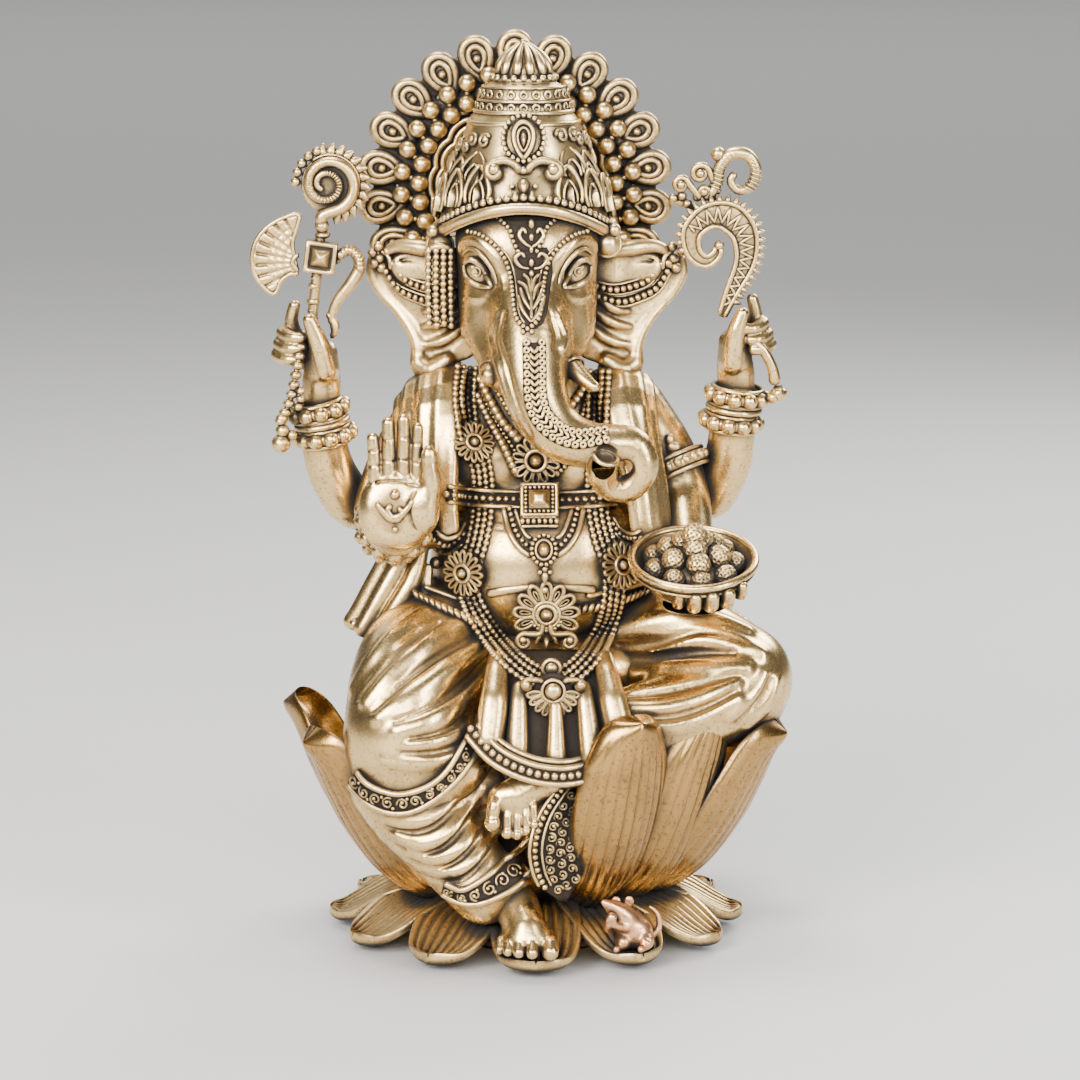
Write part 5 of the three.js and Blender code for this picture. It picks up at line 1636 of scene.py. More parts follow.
def axe():
    y = -1.1
    blade = [(-43.6, 121.0), (-44.4, 126.2), (-43.6, 129.0), (-43.2, 131.6), (-46.0, 131.0), (-48.8, 129.4),
             (-50.9, 127.0), (-51.8, 124.0), (-51.4, 121.0), (-49.8, 118.6), (-47.7, 117.3), (-46.6, 119.6),
             (-44.6, 121.0)]
    outline = upright(blade, y)[:, [0, 2]]
    clay = Clay((-54, -4, 114), (-40, 3, 136), 0.26)
    clay.sheet(outline, y + 0.1, 1.5, edge=0.3)
    hub = (-41.6, 122.9)
    for i in range(9):  # panels that fan out from the shaft
        a = math.radians(118 + 13 * i)
        ray = circle_points(hub, 3.6, [a]) + circle_points(hub, 9.4, [a])
        clay.bar(upright(ray, y - 0.62), [0.26, 0.36], 0.1, dig=True)
    for r in (4.3, 5.6, 6.9):
        arc = circle_points(hub, r, np.radians(np.linspace(118, 232, 9)))
        clay.bar(upright(arc, y - 0.62), 0.24, 0.1, dig=True)
    parts = [clay.skin(1), tube(closed_curve(outline, 70) + [0, y - 0.35, 0], 0.42, closed=True)]
    parts.append(rod(upright([(-43.2, 124.6), (-44.5, 122.9), (-43.2, 121.2)], y - 0.5), 0.5, 0.4, 8))

    block = stepped_block([(2.9, 1.4), (2.9, -1.6), (2.75, -1.9), (2.2, -1.9), (2.0, -1.2), (1.75, -1.2),
                           (1.6, -1.7), (0.05, -2.6)], 5)
    parts.append(rotated(block, math.radians(-8)).moved(held(-39.3, 123.9, y)))

    shaft = upright([(-39.2, 128.4), (-40.0, 121), (-40.6, 116), (-41.2, 108)], y)
    parts.append(rod(shaft, 0.95, 0.6, 10))
    for x, rise, r, tall in SHAFT_KNOBS:
        parts.append(ball(held(x, rise, y), (r, r, tall)))
    hook = upright([(-36.4, 122.6), (-35.8, 124.2), (-34.2, 125.1), (-32.6, 123.8), (-32.3, 121.8),
                    (-33.6, 119.4), (-36.0, 116.4), (-37.2, 114.0), (-37.4, 111.6)], y)
    parts.append(rod(hook, [0.5, 0.9, 1.15, 1.2, 1.1, 1.0, 0.9, 0.8, 0.7], 0.4, 12))
    for place in spline(hook[1:5], 9):
        parts.append(ball(place + [0.2, -0.3, 0.2], (1.0, 1.3, 1.0), 1))
    foot = upright([(-38.2, 114), (-37.0, 112.2), (-36.8, 110.4), (-37.6, 109.2)], y)
    parts.append(rod(foot, [0.6, 0.8, 0.9, 0.5], 0.4))
    piece("axe", join(*parts), nodes=["axe"])


def axe_scroll():
    y = -1.2
    clay = Clay((-47, -4, 126), (-28, 3, 150), 0.28)
    centre = (-37.4, 137.0)

    def arc(radius, degrees):
        return circle_points(centre, radius, np.radians(degrees))

    clay.sheet(upright(circle_points(centre, 5.4, np.linspace(0, TURN, 29)[:-1]), y)[:, [0, 2]], y + 0.3, 1.3,
               0.3, 0.3)
    parts = [clay.skin(1)]
    for i in range(13):  # saw teeth round the right of the disc
        a = math.radians(-78 + 15.2 * i)
        line = [circle_points(centre, r, [a - lean])[0] for r, lean in ((5.0, 0), (6.2, 0.02), (7.5, 0.1))]
        parts.append(rod(upright(line, y), [1.25, 1.0, 0.15], 0.3, 8, 0.7))
    turn = np.linspace(0, 1, 60)
    angle = math.radians(-100) + turn * 2.05 * TURN
    r = 5.0 * (1 - 0.83 * turn)
    coil = np.stack([centre[0] - 1.2 * turn + r * np.cos(angle), centre[1] + r * np.sin(angle)], 1)
    line = upright([(-39.0, 129.6), (-38.9, 131.2), *coil[2:]], y - 0.9)
    parts.append(rod(line, [1.15, 1.1, 1.05, 0.95, 0.8, 0.7, 0.6], 0.4, 10))
    cross = unit(np.cross(heading(line), [0, 1.0, 0]))
    for k in range(4, 44):  # hatching across the coil
        reach = cross[k] * np.interp(k, [0, 60], [1.05, 0.5])
        parts.append(rod([line[k] - reach, line[k] - [0, 0.85, 0], line[k] + reach], 0.24, 0.5, 6))
    parts.append(rod(upright(arc(5.2, np.linspace(-75, 130, 30)), y - 0.5), 0.3, 0.5, 6))
    parts.append(beads(upright(arc(6.3, (112, 128, 144, 160, 176)), y - 0.1), 0.95, 2))
    parts.append(rod(upright([(-39.0, 131.0), (-39.0, 128.0)], y), 1.4, 0.5, 10))
    piece("axe_scroll", join(*parts), nodes=["axe_scroll"])


SCROLL = [(33.9, 113.2), (35.7, 117.5), (38.2, 123.3), (37.9, 128.3), (35.0, 131.3), (31.2, 131.2),
          (28.4, 128.4), (28.7, 124.9), (30.9, 123.2), (32.9, 124.4), (33.2, 126.0)]
SCROLL_HALF = [0.5, 2.0, 2.3, 2.5, 2.3, 2.1, 1.8, 1.5, 1.1, 0.7, 0.5]
TOP_SCROLL = [(31.6, 134.6), (33.0, 137.4), (33.4, 140.0), (35.4, 142.4), (38.4, 142.2), (40.0, 139.6),
              (39.2, 136.8), (36.9, 135.9), (35.4, 137.6), (36.4, 139.2)]


def noose():
    y = -1.0
    middle = upright(SCROLL, y, 90)
    half = spread(SCROLL_HALF, 90)
    n = np.array([0, -1.0, 0])
    side = unit(np.cross(heading(middle), n))
    parts = [ribbon(middle, half, 1.7, n)]
    edges = [middle + side * (half * s)[:, None] + n * 0.75 for s in (-1, 1)]
    parts += [rod(e, 0.52, 0.5, 10) for e in edges]
    zigzag = []
    for i in range(5, 66, 2):
        swing = 0.62 if (i // 2) % 2 else -0.62
        zigzag.append(middle[i] + side[i] * half[i] * swing + n * 0.95)
    corners = np.vstack([np.linspace(a, b, 5)[:-1] for a, b in zip(zigzag, zigzag[1:])])
    parts.append(tube(corners, 0.28, 6))
    inside = held(34, 124, y)
    outer = max(edges, key=lambda edge: np.linalg.norm(edge[40] - inside))
    way = outer - middle
    for i, p in enumerate(along(outer[8:72], 27)):  # cone teeth along the outside
        out_x, out_z = (np.interp(i / 26 * 64 + 8, np.arange(90), way[:, axis]) for axis in (0, 2))
        out = unit((out_x, 0, out_z))
        parts.append(rod([p + n * 0.3, p + out * 1.0, p + out * 1.7], [0.65, 0.5, 0.15], 0.25))
    parts.append(ball(held(33.4, 126.0, y - 0.6), 0.95))

    top = upright(TOP_SCROLL, y, 60)
    parts.append(rod(top, [0.9, 1.0, 1.15, 1.2, 1.15, 1.0, 0.85, 0.7], 0.4, 12))
    for p in along(top, 34)[3:26]:
        parts.append(hoop(p, unit(np.array([0.4, 0, 1])), 1.05, 0.22, 6, 14))
    parts.append(rod(top[6:50] * [0.93, 1, 1] + [2.55, -0.3, 0.0], 0.4, 0.4))
    parts.append(ball(held(33.1, 142.4, y), 1.35))
    parts.append(rod(upright([(33.1, 142.2), (33.8, 140.6)], y), 0.7, 0.4))
    for start, curl, radius in (((33.4, 135.2), (29.9, 138.9), 1.7), ((30.2, 134.2), (26.4, 136.9), 1.4),
                                ((30.8, 134.0), (30.6, 135.6), 0.9)):  # three small curls beside it
        t = np.linspace(0, 1, 24)
        loop = [circle_points(curl, radius * (1 - 0.7 * inward),
                              [0.2 + inward * 1.3 * TURN])[0] for inward in t]
        parts.append(rod(upright([start, *loop], y), [0.6, 0.7, 0.6, 0.55], 0.35, 10))
        parts.append(ball(held(*curl, y - 0.3), 0.85))
    buds = [(26.6, 135.0), (27.6, 133.6), (29.4, 134.8), (32.0, 134.6), (25.0, 134.6)]
    parts.append(beads(upright(buds, y + 0.6), 0.9, 2))
    parts.append(rod(upright([(24.0, 134.4), (27.0, 133.6), (29.0, 132.6)], y + 1.2), 0.7, 0.4))
    piece("noose", join(*parts), nodes=["noose"])


def rosary():
    line = spline(held_line([(-43.0, 107.6, -3.4), (-43.6, 103.6, -4.4), (-44.8, 98.0, -5.2),
                             (-46.6, 94.0, -5.6)]), 40)
    parts = [copies(GLOBES[2].scaled((1.1, 1.1, 0.85)), along(line, 9)), rod(line, 0.5)]
    end = upright([(-46.3, 92.2), (-46.6, 89.9), (-44.6, 91.4), (-46.4, 94.4)], -5.6)
    parts.append(beads(end, (1.3, 1.75, 1.0, 1.1), 2))
    loop = spline(held_line([(-44.2, 100.2, -5.0), (-42.8, 99.2, -5.4), (-43.4, 96.6, -5.6)]), 20)
    parts.append(copies(GLOBES[2].scaled((0.8, 0.8, 0.7)), along(loop, 4)))
    piece("rosary", join(*parts), nodes=["rosary"])


# ---- Cloth over the shoulders and between the knees ------------------------------------------
SHAWL_RIGHT = [
    ([(-14.2, 8, 99), (-14.4, 1, 105.4), (-15.0, -6.5, 101.5), (-15.2, -10.6, 93), (-15.4, -12.4, 84),
      (-15.0, -13, 78)], 1.5),
    ([(-17.0, 8, 98), (-17.0, 1, 105.2), (-17.4, -6.5, 101.6), (-17.6, -10.0, 93), (-17.4, -11.8, 84),
      (-16.8, -12.6, 77)], 1.7),
    ([(-19.8, 8, 96), (-19.8, 1, 104.0), (-20.2, -6, 100.6), (-20.4, -8.6, 93), (-19.8, -10.2, 84),
      (-18.8, -11.4, 76)], 1.7),
    ([(-22.4, 8, 93), (-22.6, 1, 101.8), (-23.0, -4.6, 98.6), (-23.0, -6.4, 92), (-22.0, -8.4, 84),
      (-20.6, -9.8, 75)], 1.6),
    ([(-24.2, 7, 90), (-24.8, 1, 98.6), (-25.0, -2.4, 95.6), (-24.6, -4.0, 90), (-23.4, -6.0, 84)], 1.2),
]
SHAWL_LEFT = [
    ([(12.2, 8, 100), (12.6, 1, 105.4), (13.4, -6.5, 101.5), (15.2, -10.6, 93), (17.4, -12.8, 84),
      (18.4, -13.6, 76)], 1.4),
    ([(15.0, 8, 98), (15.2, 1, 105.2), (15.8, -6.5, 101.6), (17.4, -10.0, 94), (19.4, -11.8, 85),
      (20.6, -12.6, 76)], 1.6),
    ([(17.8, 8, 96), (17.8, 1, 104.2), (18.4, -6, 100.8), (19.4, -8.6, 94), (21.0, -10.4, 85),
      (22.4, -11.6, 75.5)], 1.5),
    ([(20.2, 8, 94), (20.4, 1, 102.4), (20.8, -4.6, 99.0), (21.4, -6.8, 93), (22.8, -8.6, 85),
      (23.9, -10, 76)], 1.2),
]


def shawls():
    for name, folds, x in (("shawl_right", SHAWL_RIGHT, -18), ("shawl_left", SHAWL_LEFT, 17)):
        clay = Clay((x - 12, -20, 70), (x + 12, 14, 110), 0.36)
        lines = [np.array(places, float) for places, _ in folds]
        for a, b in zip(lines, lines[1:]):  # the cloth between two folds lies a little lower
            n = min(len(a), len(b))
            clay.bar((a[:n] + b[:n]) / 2 + [0, 0.9, -0.5], 1.7, 1.2)
        for places, radius in folds:
            clay.bar(places, spread([radius * 0.8, radius, radius * 1.15, radius, radius * 0.7], len(places)),
                     1.3)
        show(name, clay.skin(1), "polished_brass", nodes=[name])


TAIL_FOLDS = [
    ([(-24.5, -6, 78), (-28.0, -6, 70), (-32.0, -7, 62.6), (-34.0, -7.6, 59.6)], 1.6),
    ([(-21.4, -8.6, 78), (-24.8, -9.4, 71), (-29.2, -10.4, 63.0), (-31.6, -11, 59.0)], 1.9),
    ([(-20.2, -9.8, 76), (-22.6, -11, 68), (-26.4, -12.2, 61.6), (-28.6, -12.6, 57.6)], 1.8),
    ([(-19.6, -9.8, 70), (-20.4, -11, 64), (-23.4, -12.6, 58.4)], 1.2),
]


def shawl_tail():
    clay = Clay((-38, -17, 52), (-14, 2, 84), 0.32)
    for places, radius in TAIL_FOLDS:
        clay.bar(places, [radius * 0.7, radius, radius * 1.05, radius * 0.9], 0.5)
    lines = [np.array(places, float) for places, _ in TAIL_FOLDS[:3]]
    for a, b in zip(lines, lines[1:]):
        clay.bar((a + b) / 2 + [0, 1.2, 0], 1.5, 0.8)
    skin = clay.skin(1)
    row = np.array([(-2.6, 0.8, 1.2), (-1.0, 0, 0.2), (0.7, -0.6, -0.4), (2.4, -1, -0.9)])
    trim = beads(held(-30.6, 55.6, -10.6) + row, 1.0, 2)
    piece("shawl_tail", join(skin, trim), "polished_brass", nodes=["shawl_tail"])
    front.add(skin)


# the pleats between the knees: places, radii and lift
PLEATS = [
    ([(-6.8, 52.0), (-7.4, 44.6), (-8.2, 37.6), (-8.6, 34.6)], [1.6, 2.6, 2.6, 2.4], 0.6),
    ([(-3.0, 47.0), (-3.2, 39.6), (-3.4, 33.4), (-3.5, 31.0)], [1.2, 1.8, 2.0, 1.9], 0.2),
    ([(3.5, 44.0), (3.6, 37.6), (3.6, 32.6), (3.6, 30.2)], [1.2, 1.4, 1.8, 1.9], 0.3),
    ([(8.4, 47.0), (9.2, 40.4), (9.9, 34.0), (10.2, 31.2)], [1.3, 1.9, 2.1, 2.0], 0.3),
    ([(12.0, 52.0), (13.4, 45.0), (14.9, 38.0), (15.4, 34.6)], [1.6, 2.5, 2.6, 2.4], 0.6),
]
# its hem, as [x, rise, y]
APRON_HEM = [(-11.6, 38.6, -32.6), (-7.2, 34.0, -35.0), (-1.4, 31.2, -36.4), (4.3, 30.3, -36.4),
             (9.2, 31.0, -34.2), (13.6, 33.2, -31.4)]


def apron():
    def at(places, lift=0.0):
        p = spline(places, 20)
        y = np.interp(p[:, 1], [28, 34, 44, 49, 53], [-34.2, -33.4, -29.6, -25.6, -19.5]) - lift
        return held_line(np.stack([p[:, 0], p[:, 1], y], 1))

    rows = []
    for t in np.linspace(0, 1, 12):
        line = [(-7 - 4.6 * t, 52 - 14 * t), (-1, 52 - 22 * t), (4.3, 52 - 22 * t),
                (10 + 5 * t, 52 - 14.6 * t)]
        rows.append(at(line, -0.9))
    show("apron_ground", backed(rows, [0, 1.0, 0.3]), nodes=["front_apron"], look="dark_patina")
    pleats = [rod(at(places, lift), radius, 0.5, 20, 0.75, up=(0, -1, 0)) for places, radius, lift in PLEATS]
    show("front_apron", join(*pleats), "polished_brass", nodes=["front_apron"])
    line = spline(held_line(APRON_HEM), 70)
    n = unit([0.05, -1, 0.12])
    side = unit(np.cross(heading(line), n))
    rims = [rod(line + side * s * 1.4 + n * 0.2, 0.62, 0.4, 10) for s in (-1, 1)]
    border = join(*rims, bead_row(line + n * 0.35, 0.74, 1.02), rod(line - side * 2.5 - n * 0.4, 0.6, 0.4))
    show("apron_border", border, nodes=["front_apron"])
    show("apron_band", ribbon(line, 1.5, 0.9, n), nodes=["front_apron"], look="dark_patina")


SASH_EDGE = [(5.2, 28.4), (2.2, 24.4), (0.5, 20.7), (-0.2, 16.7), (0.4, 12.8), (1.6, 10.2)]


def sash():
    def at(x, rise, lift=0.0):
        return held(x, rise, np.interp(rise, [8, 18, 28], [-34.6, -34.2, -33.0]) + 0.5 * (x - 2) - lift)

    def left_edge(rise):
        return np.interp(rise, [7.4, 9.6, 12.6, 16.7, 20.9, 24.6, 28.4], [4.4, 1.4, 0.2, -0.2, 0.6, 2.4, 5.2])

    rows = []
    for rise in np.linspace(28.4, 7.4, 22):
        xs = np.linspace(left_edge(rise), np.interp(rise, [7.4, 12, 18], [5.6, 8.2, 9.6]), 9)
        rows.append([at(x, rise) for x in xs])
    show("sash_ground", backed(rows, [0, 1.4, 0]), nodes=["lotus_core"], look="dark_patina")
    edge = spline(SASH_EDGE, 50)
    parts = [bead_row(np.array([at(x, r, 0.5) for x, r in edge]), 0.55, 1.1),
             rod(np.array([at(x + 1.2, r, 0.2) for x, r in edge]), 0.32, 0.4, 8),
             rod(np.array([at(x - 0.9, r, 0.1) for x, r in edge]), 0.35, 0.4, 8)]
    for i in range(10):  # curls that fill the sash, in staggered columns
        for column in range(3):
            rise = 26.6 - 1.9 * i - 0.95 * (column % 2)
            curl = rotated(spiral(0.92, 1.2, 0.27, 0, 1 if i % 2 else -1), i * 2.1 + column * 1.7)
            x = left_edge(rise) + 2.5 + 1.9 * column
            if x < np.interp(rise, [7.4, 12, 18], [5.0, 7.6, 9.2]):
                parts.append(curl.moved(at(x, rise, 0.3)))
    show("sash", join(*parts), nodes=["lotus_core"])


# ---- Necklaces, belt and the ornaments on the belly ------------------------------------------
GARLAND = [
    [(-12.6, 103.8), (-13.0, 97.9), (-12.0, 91.0), (-9.9, 85.4), (-9.7, 78.0), (-10.7, 71.9), (-12.3, 66.5),
     (-11.7, 61.0), (-7.9, 54.6), (-2.9, 49.6), (2.6, 46.4)],
    [(11.6, 103.0), (11.2, 95.5), (11.0, 86.0), (11.2, 78.0), (12.3, 72.5), (14.2, 67.0), (13.8, 60.1),
     (11.7, 54.2), (7.8, 49.4), (3.2, 46.4)],
]
MEDALLIONS = [((-11.7, 89.5), 3.7), ((-12.3, 66.5), 4.1), ((14.7, 67.7), 4.1)]


def laid(shell, place, lift=0.3, reach=2.5):
    """An ornament on the front of the figure, tilted to lie on it."""
    x, rise = place
    axes = front.facing(place, reach)
    nearest = front.on([[x + d, rise + e] for d in (-1.2, 0, 1.2) for e in (-1.2, 0, 1.2)])
    depth = np.median(nearest @ LOOK)
    return shell.placed(axes, from_view(x, rise, depth) - axes[1] * lift)


def hung(shell, place, lift=0.3, reach=3.0):
    """An ornament that hangs upright, in front of everything within reach of it."""
    x, rise = place
    steps = np.linspace(-reach, reach, 5)
    around = front.on([[x + d, rise + e] for d in steps for e in steps])
    return shell.moved(from_view(x, rise, np.percentile(around @ LOOK, 20)) - LOOK * lift)


def garland():
    strands, cores = [], []
    for places in GARLAND:
        count = int(path_length(spline(places, 60)) / 0.5)
        for offset in (-1.65, -0.55, 0.55, 1.65):
            line = relaxed(front.on(beside(places, offset, count), 0.55 - 0.12 * abs(offset), 7), 4)
            strands.append(bead_row(line, 0.62, 1.0))
            cores.append(tube(line, 0.34, 6))
    beads_all = join(*strands, *cores)
    sun = [laid(rosette(radius, 16), place, 1.1, 4) for place, radius in MEDALLIONS]
    piece("garland", join(beads_all, *sun), nodes=["garland"])
    grounds = join(*[laid(pad(disc(radius * 0.98), 0.35), place, 0.75, 4) for place, radius in MEDALLIONS])
    piece("medallion_grounds", grounds, nodes=["garland"], look="dark_patina")
    front.add(beads_all)


CHEST_STRANDS = [
    ([(-10.2, 101.6), (-8.2, 97.6), (-6.2, 94.0), (-3.4, 90.6)], 1.05, 0.62),
    ([(-10.6, 98.6), (-8.6, 94.2), (-6.0, 89.6), (-3.8, 85.0)], 0.85, 0.66),
    ([(-10.4, 100.2), (-8.4, 96.0), (-6.1, 92.0), (-3.4, 87.8)], 0.45, 1.0),
    ([(-8.6, 102.0), (-6.4, 98.2), (-4.2, 94.6)], 0.5, 1.0),
    ([(9.6, 101.6), (7.8, 98.6), (5.2, 95.4), (2.2, 91.4)], 0.95, 0.62),
    ([(9.6, 99.0), (8.6, 95.2), (6.6, 91.0), (3.4, 87.0)], 0.8, 0.66),
    ([(9.8, 97.0), (9.4, 92.6), (8.0, 88.6), (4.6, 85.0)], 0.45, 1.0),
]


def necklaces():
    parts = []
    for places, radius, gap in CHEST_STRANDS:
        parts.append(bead_row(laid_line(places, 0.3), radius, gap))
    parts.append(laid(rosette(4.2, 14, 0.42), (0.15, 86.8), 1.0, 4))
    for x, rise, r in ((-3.6, 84.6, 0.8), (3.8, 84.6, 0.8), (0.1, 83.2, 0.9), (-1.8, 83.6, 0.6),
                       (2.0, 83.6, 0.6)):
        parts.append(laid(GLOBES[2].scaled(r), (x, rise), 0.4))
    show("necklaces", join(*parts), nodes=["garland"])


# half of the loops beside the oval pendant, as [distance from its middle, rise]: outer, inner and between
BELLY_LOOPS = [[(7.3, 78.2), (6.2, 73.8), (4.4, 70.9), (2.2, 69.3)],
               [(5.2, 78.0), (3.9, 74.4), (3.0, 73.0), (2.0, 72.4)],
               [(6.2, 78.0), (5.1, 74.0), (3.6, 71.9), (2.2, 70.8)]]


def belly_ornament():
    grounds, parts = [], []

    def wrap(rise):
        return [(-16.2, rise + 0.9), (-9, rise + 0.2), (0.8, rise - 0.2), (9, rise), (15, rise + 0.6)]

    for rise in (81.1, 78.3):
        parts.append(rod(laid_line(wrap(rise), 0.2, 5), 0.42, 0.5, 8))
    parts.append(bead_row(laid_line(wrap(79.7), 0.2, 5), 0.62, 1.15))
    middle = spline(wrap(79.7), 70)
    grounds.append(ribbon(front.on(middle, 0.0, 5), 1.3, 0.5, front.normals(middle, 2.5, 5)))

    # the square plate, its stepped middle and the fringe below it
    block = stepped_block([(3.5, 1.2), (3.5, -1.0), (3.35, -1.3), (2.9, -1.3), (2.7, -0.8), (2.0, -0.8),
                           (1.85, -1.5), (1.3, -1.6), (1.15, -2.1), (0.6, -2.3), (0.05, -2.3)], 6, 0.9)
    dots = beads(in_plane(square_edge(4.9, 4.4, 6), -1.15), 0.36)
    fringe = [rod([(x, -0.2, -3.1), (x, -0.6, -3.9), (x, -0.4, -4.6)], [0.42, 0.5, 0.4], 0.25, 8)
              for x in np.linspace(-3.1, 3.1, 7)]
    bars = [rod([(-3.5, -0.5, z), (3.5, -0.5, z)], 0.36, 0.4, 8) for z in (-3.2, -4.9)]
    parts.append(laid(join(block, dots, *fringe, *bars), (0.7, 79.2), 1.0, 4))

    for side in (-1, 1):  # two hanging loops on each side of the oval, with beads between
        outer, inner, between = [[(1.4 + side * x, rise) for x, rise in places] for places in BELLY_LOOPS]
        parts += [rod(laid_line(outer, 0.25), 0.55, 0.4, 10), rod(laid_line(inner, 0.25), 0.45, 0.4, 10)]
        parts.append(bead_row(laid_line(between, 0.3), 0.5, 1.2))
    oval = disc(1, 32) * [2.2, 2.7]
    pendant = join(pad(oval * 1.05, 0.5), pad(oval * 0.52, 1.7),
                   wire_loop(oval * 0.66, 0.32).moved((0, -0.5, 0)),
                   bead_row(in_plane(oval, -0.5), 0.42, 1.1, closed=True))
    parts.append(laid(pendant, (1.4, 70.4), 0.7, 3))
    drop = join(pad(drop_outline(1.9, 3.0), 1.0), ball((0, -0.4, 1.7), 0.6, 1),
                ball((0.9, -0.4, 1.1), 0.5, 1),
                ball((-0.9, -0.4, 1.1), 0.5, 1))
    parts.append(laid(drop, (1.6, 65.6), 0.6, 3))
    parts.append(laid(GLOBES[2].scaled(0.75), (1.6, 63.4), 0.5))

    flower = join(fan(5.9, 9, math.radians(-112), math.radians(112), 0.28),
                  hoop((0, -0.7, 0), (0, 1, 0), 2.4, 0.3),
                  beads([(2.9 * math.sin(a), -0.6, -2.9 * math.cos(a)) for a in np.linspace(-1.1, 1.1, 9)],
                        0.42))
    parts.append(hung(flower, (1.9, 58.8), 0.6, 4))
    grounds.append(hung(pad(disc(5.2), 0.4), (1.9, 58.8), 0.3, 4))
    for side in (-1, 1):
        curl = spiral(1.5, 1.1, 0.5, math.pi / 2, -1, tail=[(-3.4, 3.4), (-3.0, 1.6), (-1.6, 1.4)])
        if side < 0:
            curl = flipped(curl)
        parts.append(hung(curl, (1.9 + side * 4.0, 53.9), 0.9, 3))
        parts.append(hung(rotated(pad(drop_outline(1.2, 2.4), 0.8), side * 0.5), (1.9 + side * 1.5, 54.4),
                          0.6, 3))
    parts.append(hung(pad(drop_outline(1.2, 2.4), 0.9), (1.9, 53.6), 0.6, 3))

    bottom = join(fan(4.7, 9, math.radians(100), math.radians(260), 0.42),
                  ball((0, -0.8, 0), (1.5, 1.0, 1.5), 3))
    for side in (-1, 1):
        arm = spiral(1.0, 1.1, 0.5, math.pi / 2, -1, tail=[(-3.0, 0.6), (-1.9, 1.0)]).moved((4.6, -0.5, 1.0))
        bottom = join(bottom, arm if side > 0 else flipped(arm), ball((side * 4.9, -0.6, 1.2), 0.95))
    parts.append(hung(bottom, (3.1, 45.4), 1.3, 3.5))
    grounds.append(hung(pad(disc(3.6), 0.4), (3.1, 45.0), 1.0, 3.5))
    knob = join(GLOBES[3].scaled((1.15, 1.0, 1.15)), hoop((0, 0, 0), (0, 1, 0), 1.5, 0.4, 8, 28))
    parts.append(hung(knob, (2.8, 49.3), 1.3, 2))
    piece("belly_ornament", join(*parts), nodes=["belly_ornament"])
    piece("belly_grounds", join(*grounds), nodes=["belly_ornament"], look="dark_patina")


def belt():
    parts = []
    band = laid_line([(-9.0, 62.4), (-4.4, 63.2), (2.0, 63.6), (8.6, 63.4), (11.0, 63.2)], 0.1)
    parts.append(rod(band, 0.8, 0.4, 10, 0.5))
    for places in ([(-20.6, 63.8), (-16.4, 62.3), (-12.2, 60.9), (-8.8, 60.0)],
                   [(9.0, 62.0), (14.4, 63.2), (20.6, 64.6)]):
        parts.append(rod(laid_line(places, 0.4, 5), 0.55, 0.5, 10))
    ropes = ([(-21.6, 62.2), (-17.4, 60.2), (-12.6, 58.2), (-8.6, 56.6)],
             [(7.4, 59.6), (13.4, 60.6), (20.4, 62.9)])
    for places, slant in zip(ropes, (0.6, -0.6)):  # a twisted rope: slanted beads, side by side
        line = laid_line(places, 0.5, 5)
        knot = rotated(GLOBES[2].scaled((0.62, 1.0, 1.25)), slant)
        parts.append(copies(knot, along(line, int(path_length(line) / 1.15))))
    loops = [[(-18.4, 74.0), (-16.2, 72.6), (-14.2, 73.2), (-12.8, 75.6)],
             [(-18.8, 70.8), (-16.0, 69.8), (-13.2, 71.6)],
             [(14.0, 76.6), (15.4, 74.4), (17.4, 73.4), (19.2, 74.0)],
             [(14.2, 73.8), (16.0, 71.8), (18.6, 71.0)]]
    for places in loops:
        parts.append(rod(laid_line(places, 0.5), 0.4, 0.4))
    for places in ([(-18.6, 72.4), (-16.0, 71.3), (-13.2, 73.4)], [(14.0, 75.2), (15.8, 73.0), (19.0, 72.6)]):
        parts.append(bead_row(laid_line(places, 0.5), 0.55, 1.1))
    parts.append(laid(GLOBES[2].scaled(1.2), (-18.5, 68.6), 0.6))
    show("belt", join(*parts), nodes=["torso"])


def filigree(name, low, high, nodes):
    """A woven border between two lines: rims, and curls on a dark ground."""
    steps, spacing = 90, 2.3
    low, high = spline(low, steps), spline(high, steps)
    middle, half = (low + high) / 2, np.linalg.norm(high - low, axis=1) / 2
    p, n = relaxed(front.on(middle, 0.35, 9), 6), front.normals(middle, 3, 6)
    way = heading(p)
    side = unit(np.cross(way, n))
    parts = [rod(p + side * (half * s)[:, None] + n * 0.35, 0.55, 0.4, 10) for s in (-1, 1)]
    count = int(path_length(middle) / spacing)
    for i in range(count):
        k = int((i + 0.5) / count * (steps - 1))
        hand = 1 if i % 2 else -1
        curl = rotated(spiral(half[k] * 0.62, 1.25, 0.26, 0, hand), i * 2.4)
        parts.append(curl.placed([way[k], -n[k], np.cross(way[k], -n[k])], p[k] + n[k] * 0.55))
        bud_at = p[min(k + 3, steps - 1)] + n[k] * 0.5 + side[k] * half[k] * 0.45 * hand
        parts.append(ball(bud_at, 0.36, 1))
    show(name, join(*parts), nodes=nodes)
    piece(name + "_ground", ribbon(p, half, 0.8, n), nodes=nodes, look="dark_patina")


def ear_tassel():
    parts = []
    for i in range(4):
        x = -19.5 + 1.35 * i
        y = -7.2 - 0.5 * math.sin((i + 0.5) / 4 * math.pi)
        column = held_line([(x + 0.1, 124.6, y), (x, 118, y - 0.3), (x + 0.15, 111.6 - 0.35 * (i % 2), y)])
        parts += [bead_row(spline(column, 20), 0.68, 0.86, 1), rod(column, 0.45, 0.5, 6),
                  bead_row(spline(column + [0, 1.6, 0], 20), 0.68, 0.86, 1)]
    parts.append(rod(held_line([(-19.6, 124.9, -7.0), (-17.4, 125.4, -7.6), (-15.2, 125.0, -7.0)]), 0.7, 0.4,
                     10))
    piece("ear_tassel", join(*parts), nodes=["ear_tassel"])


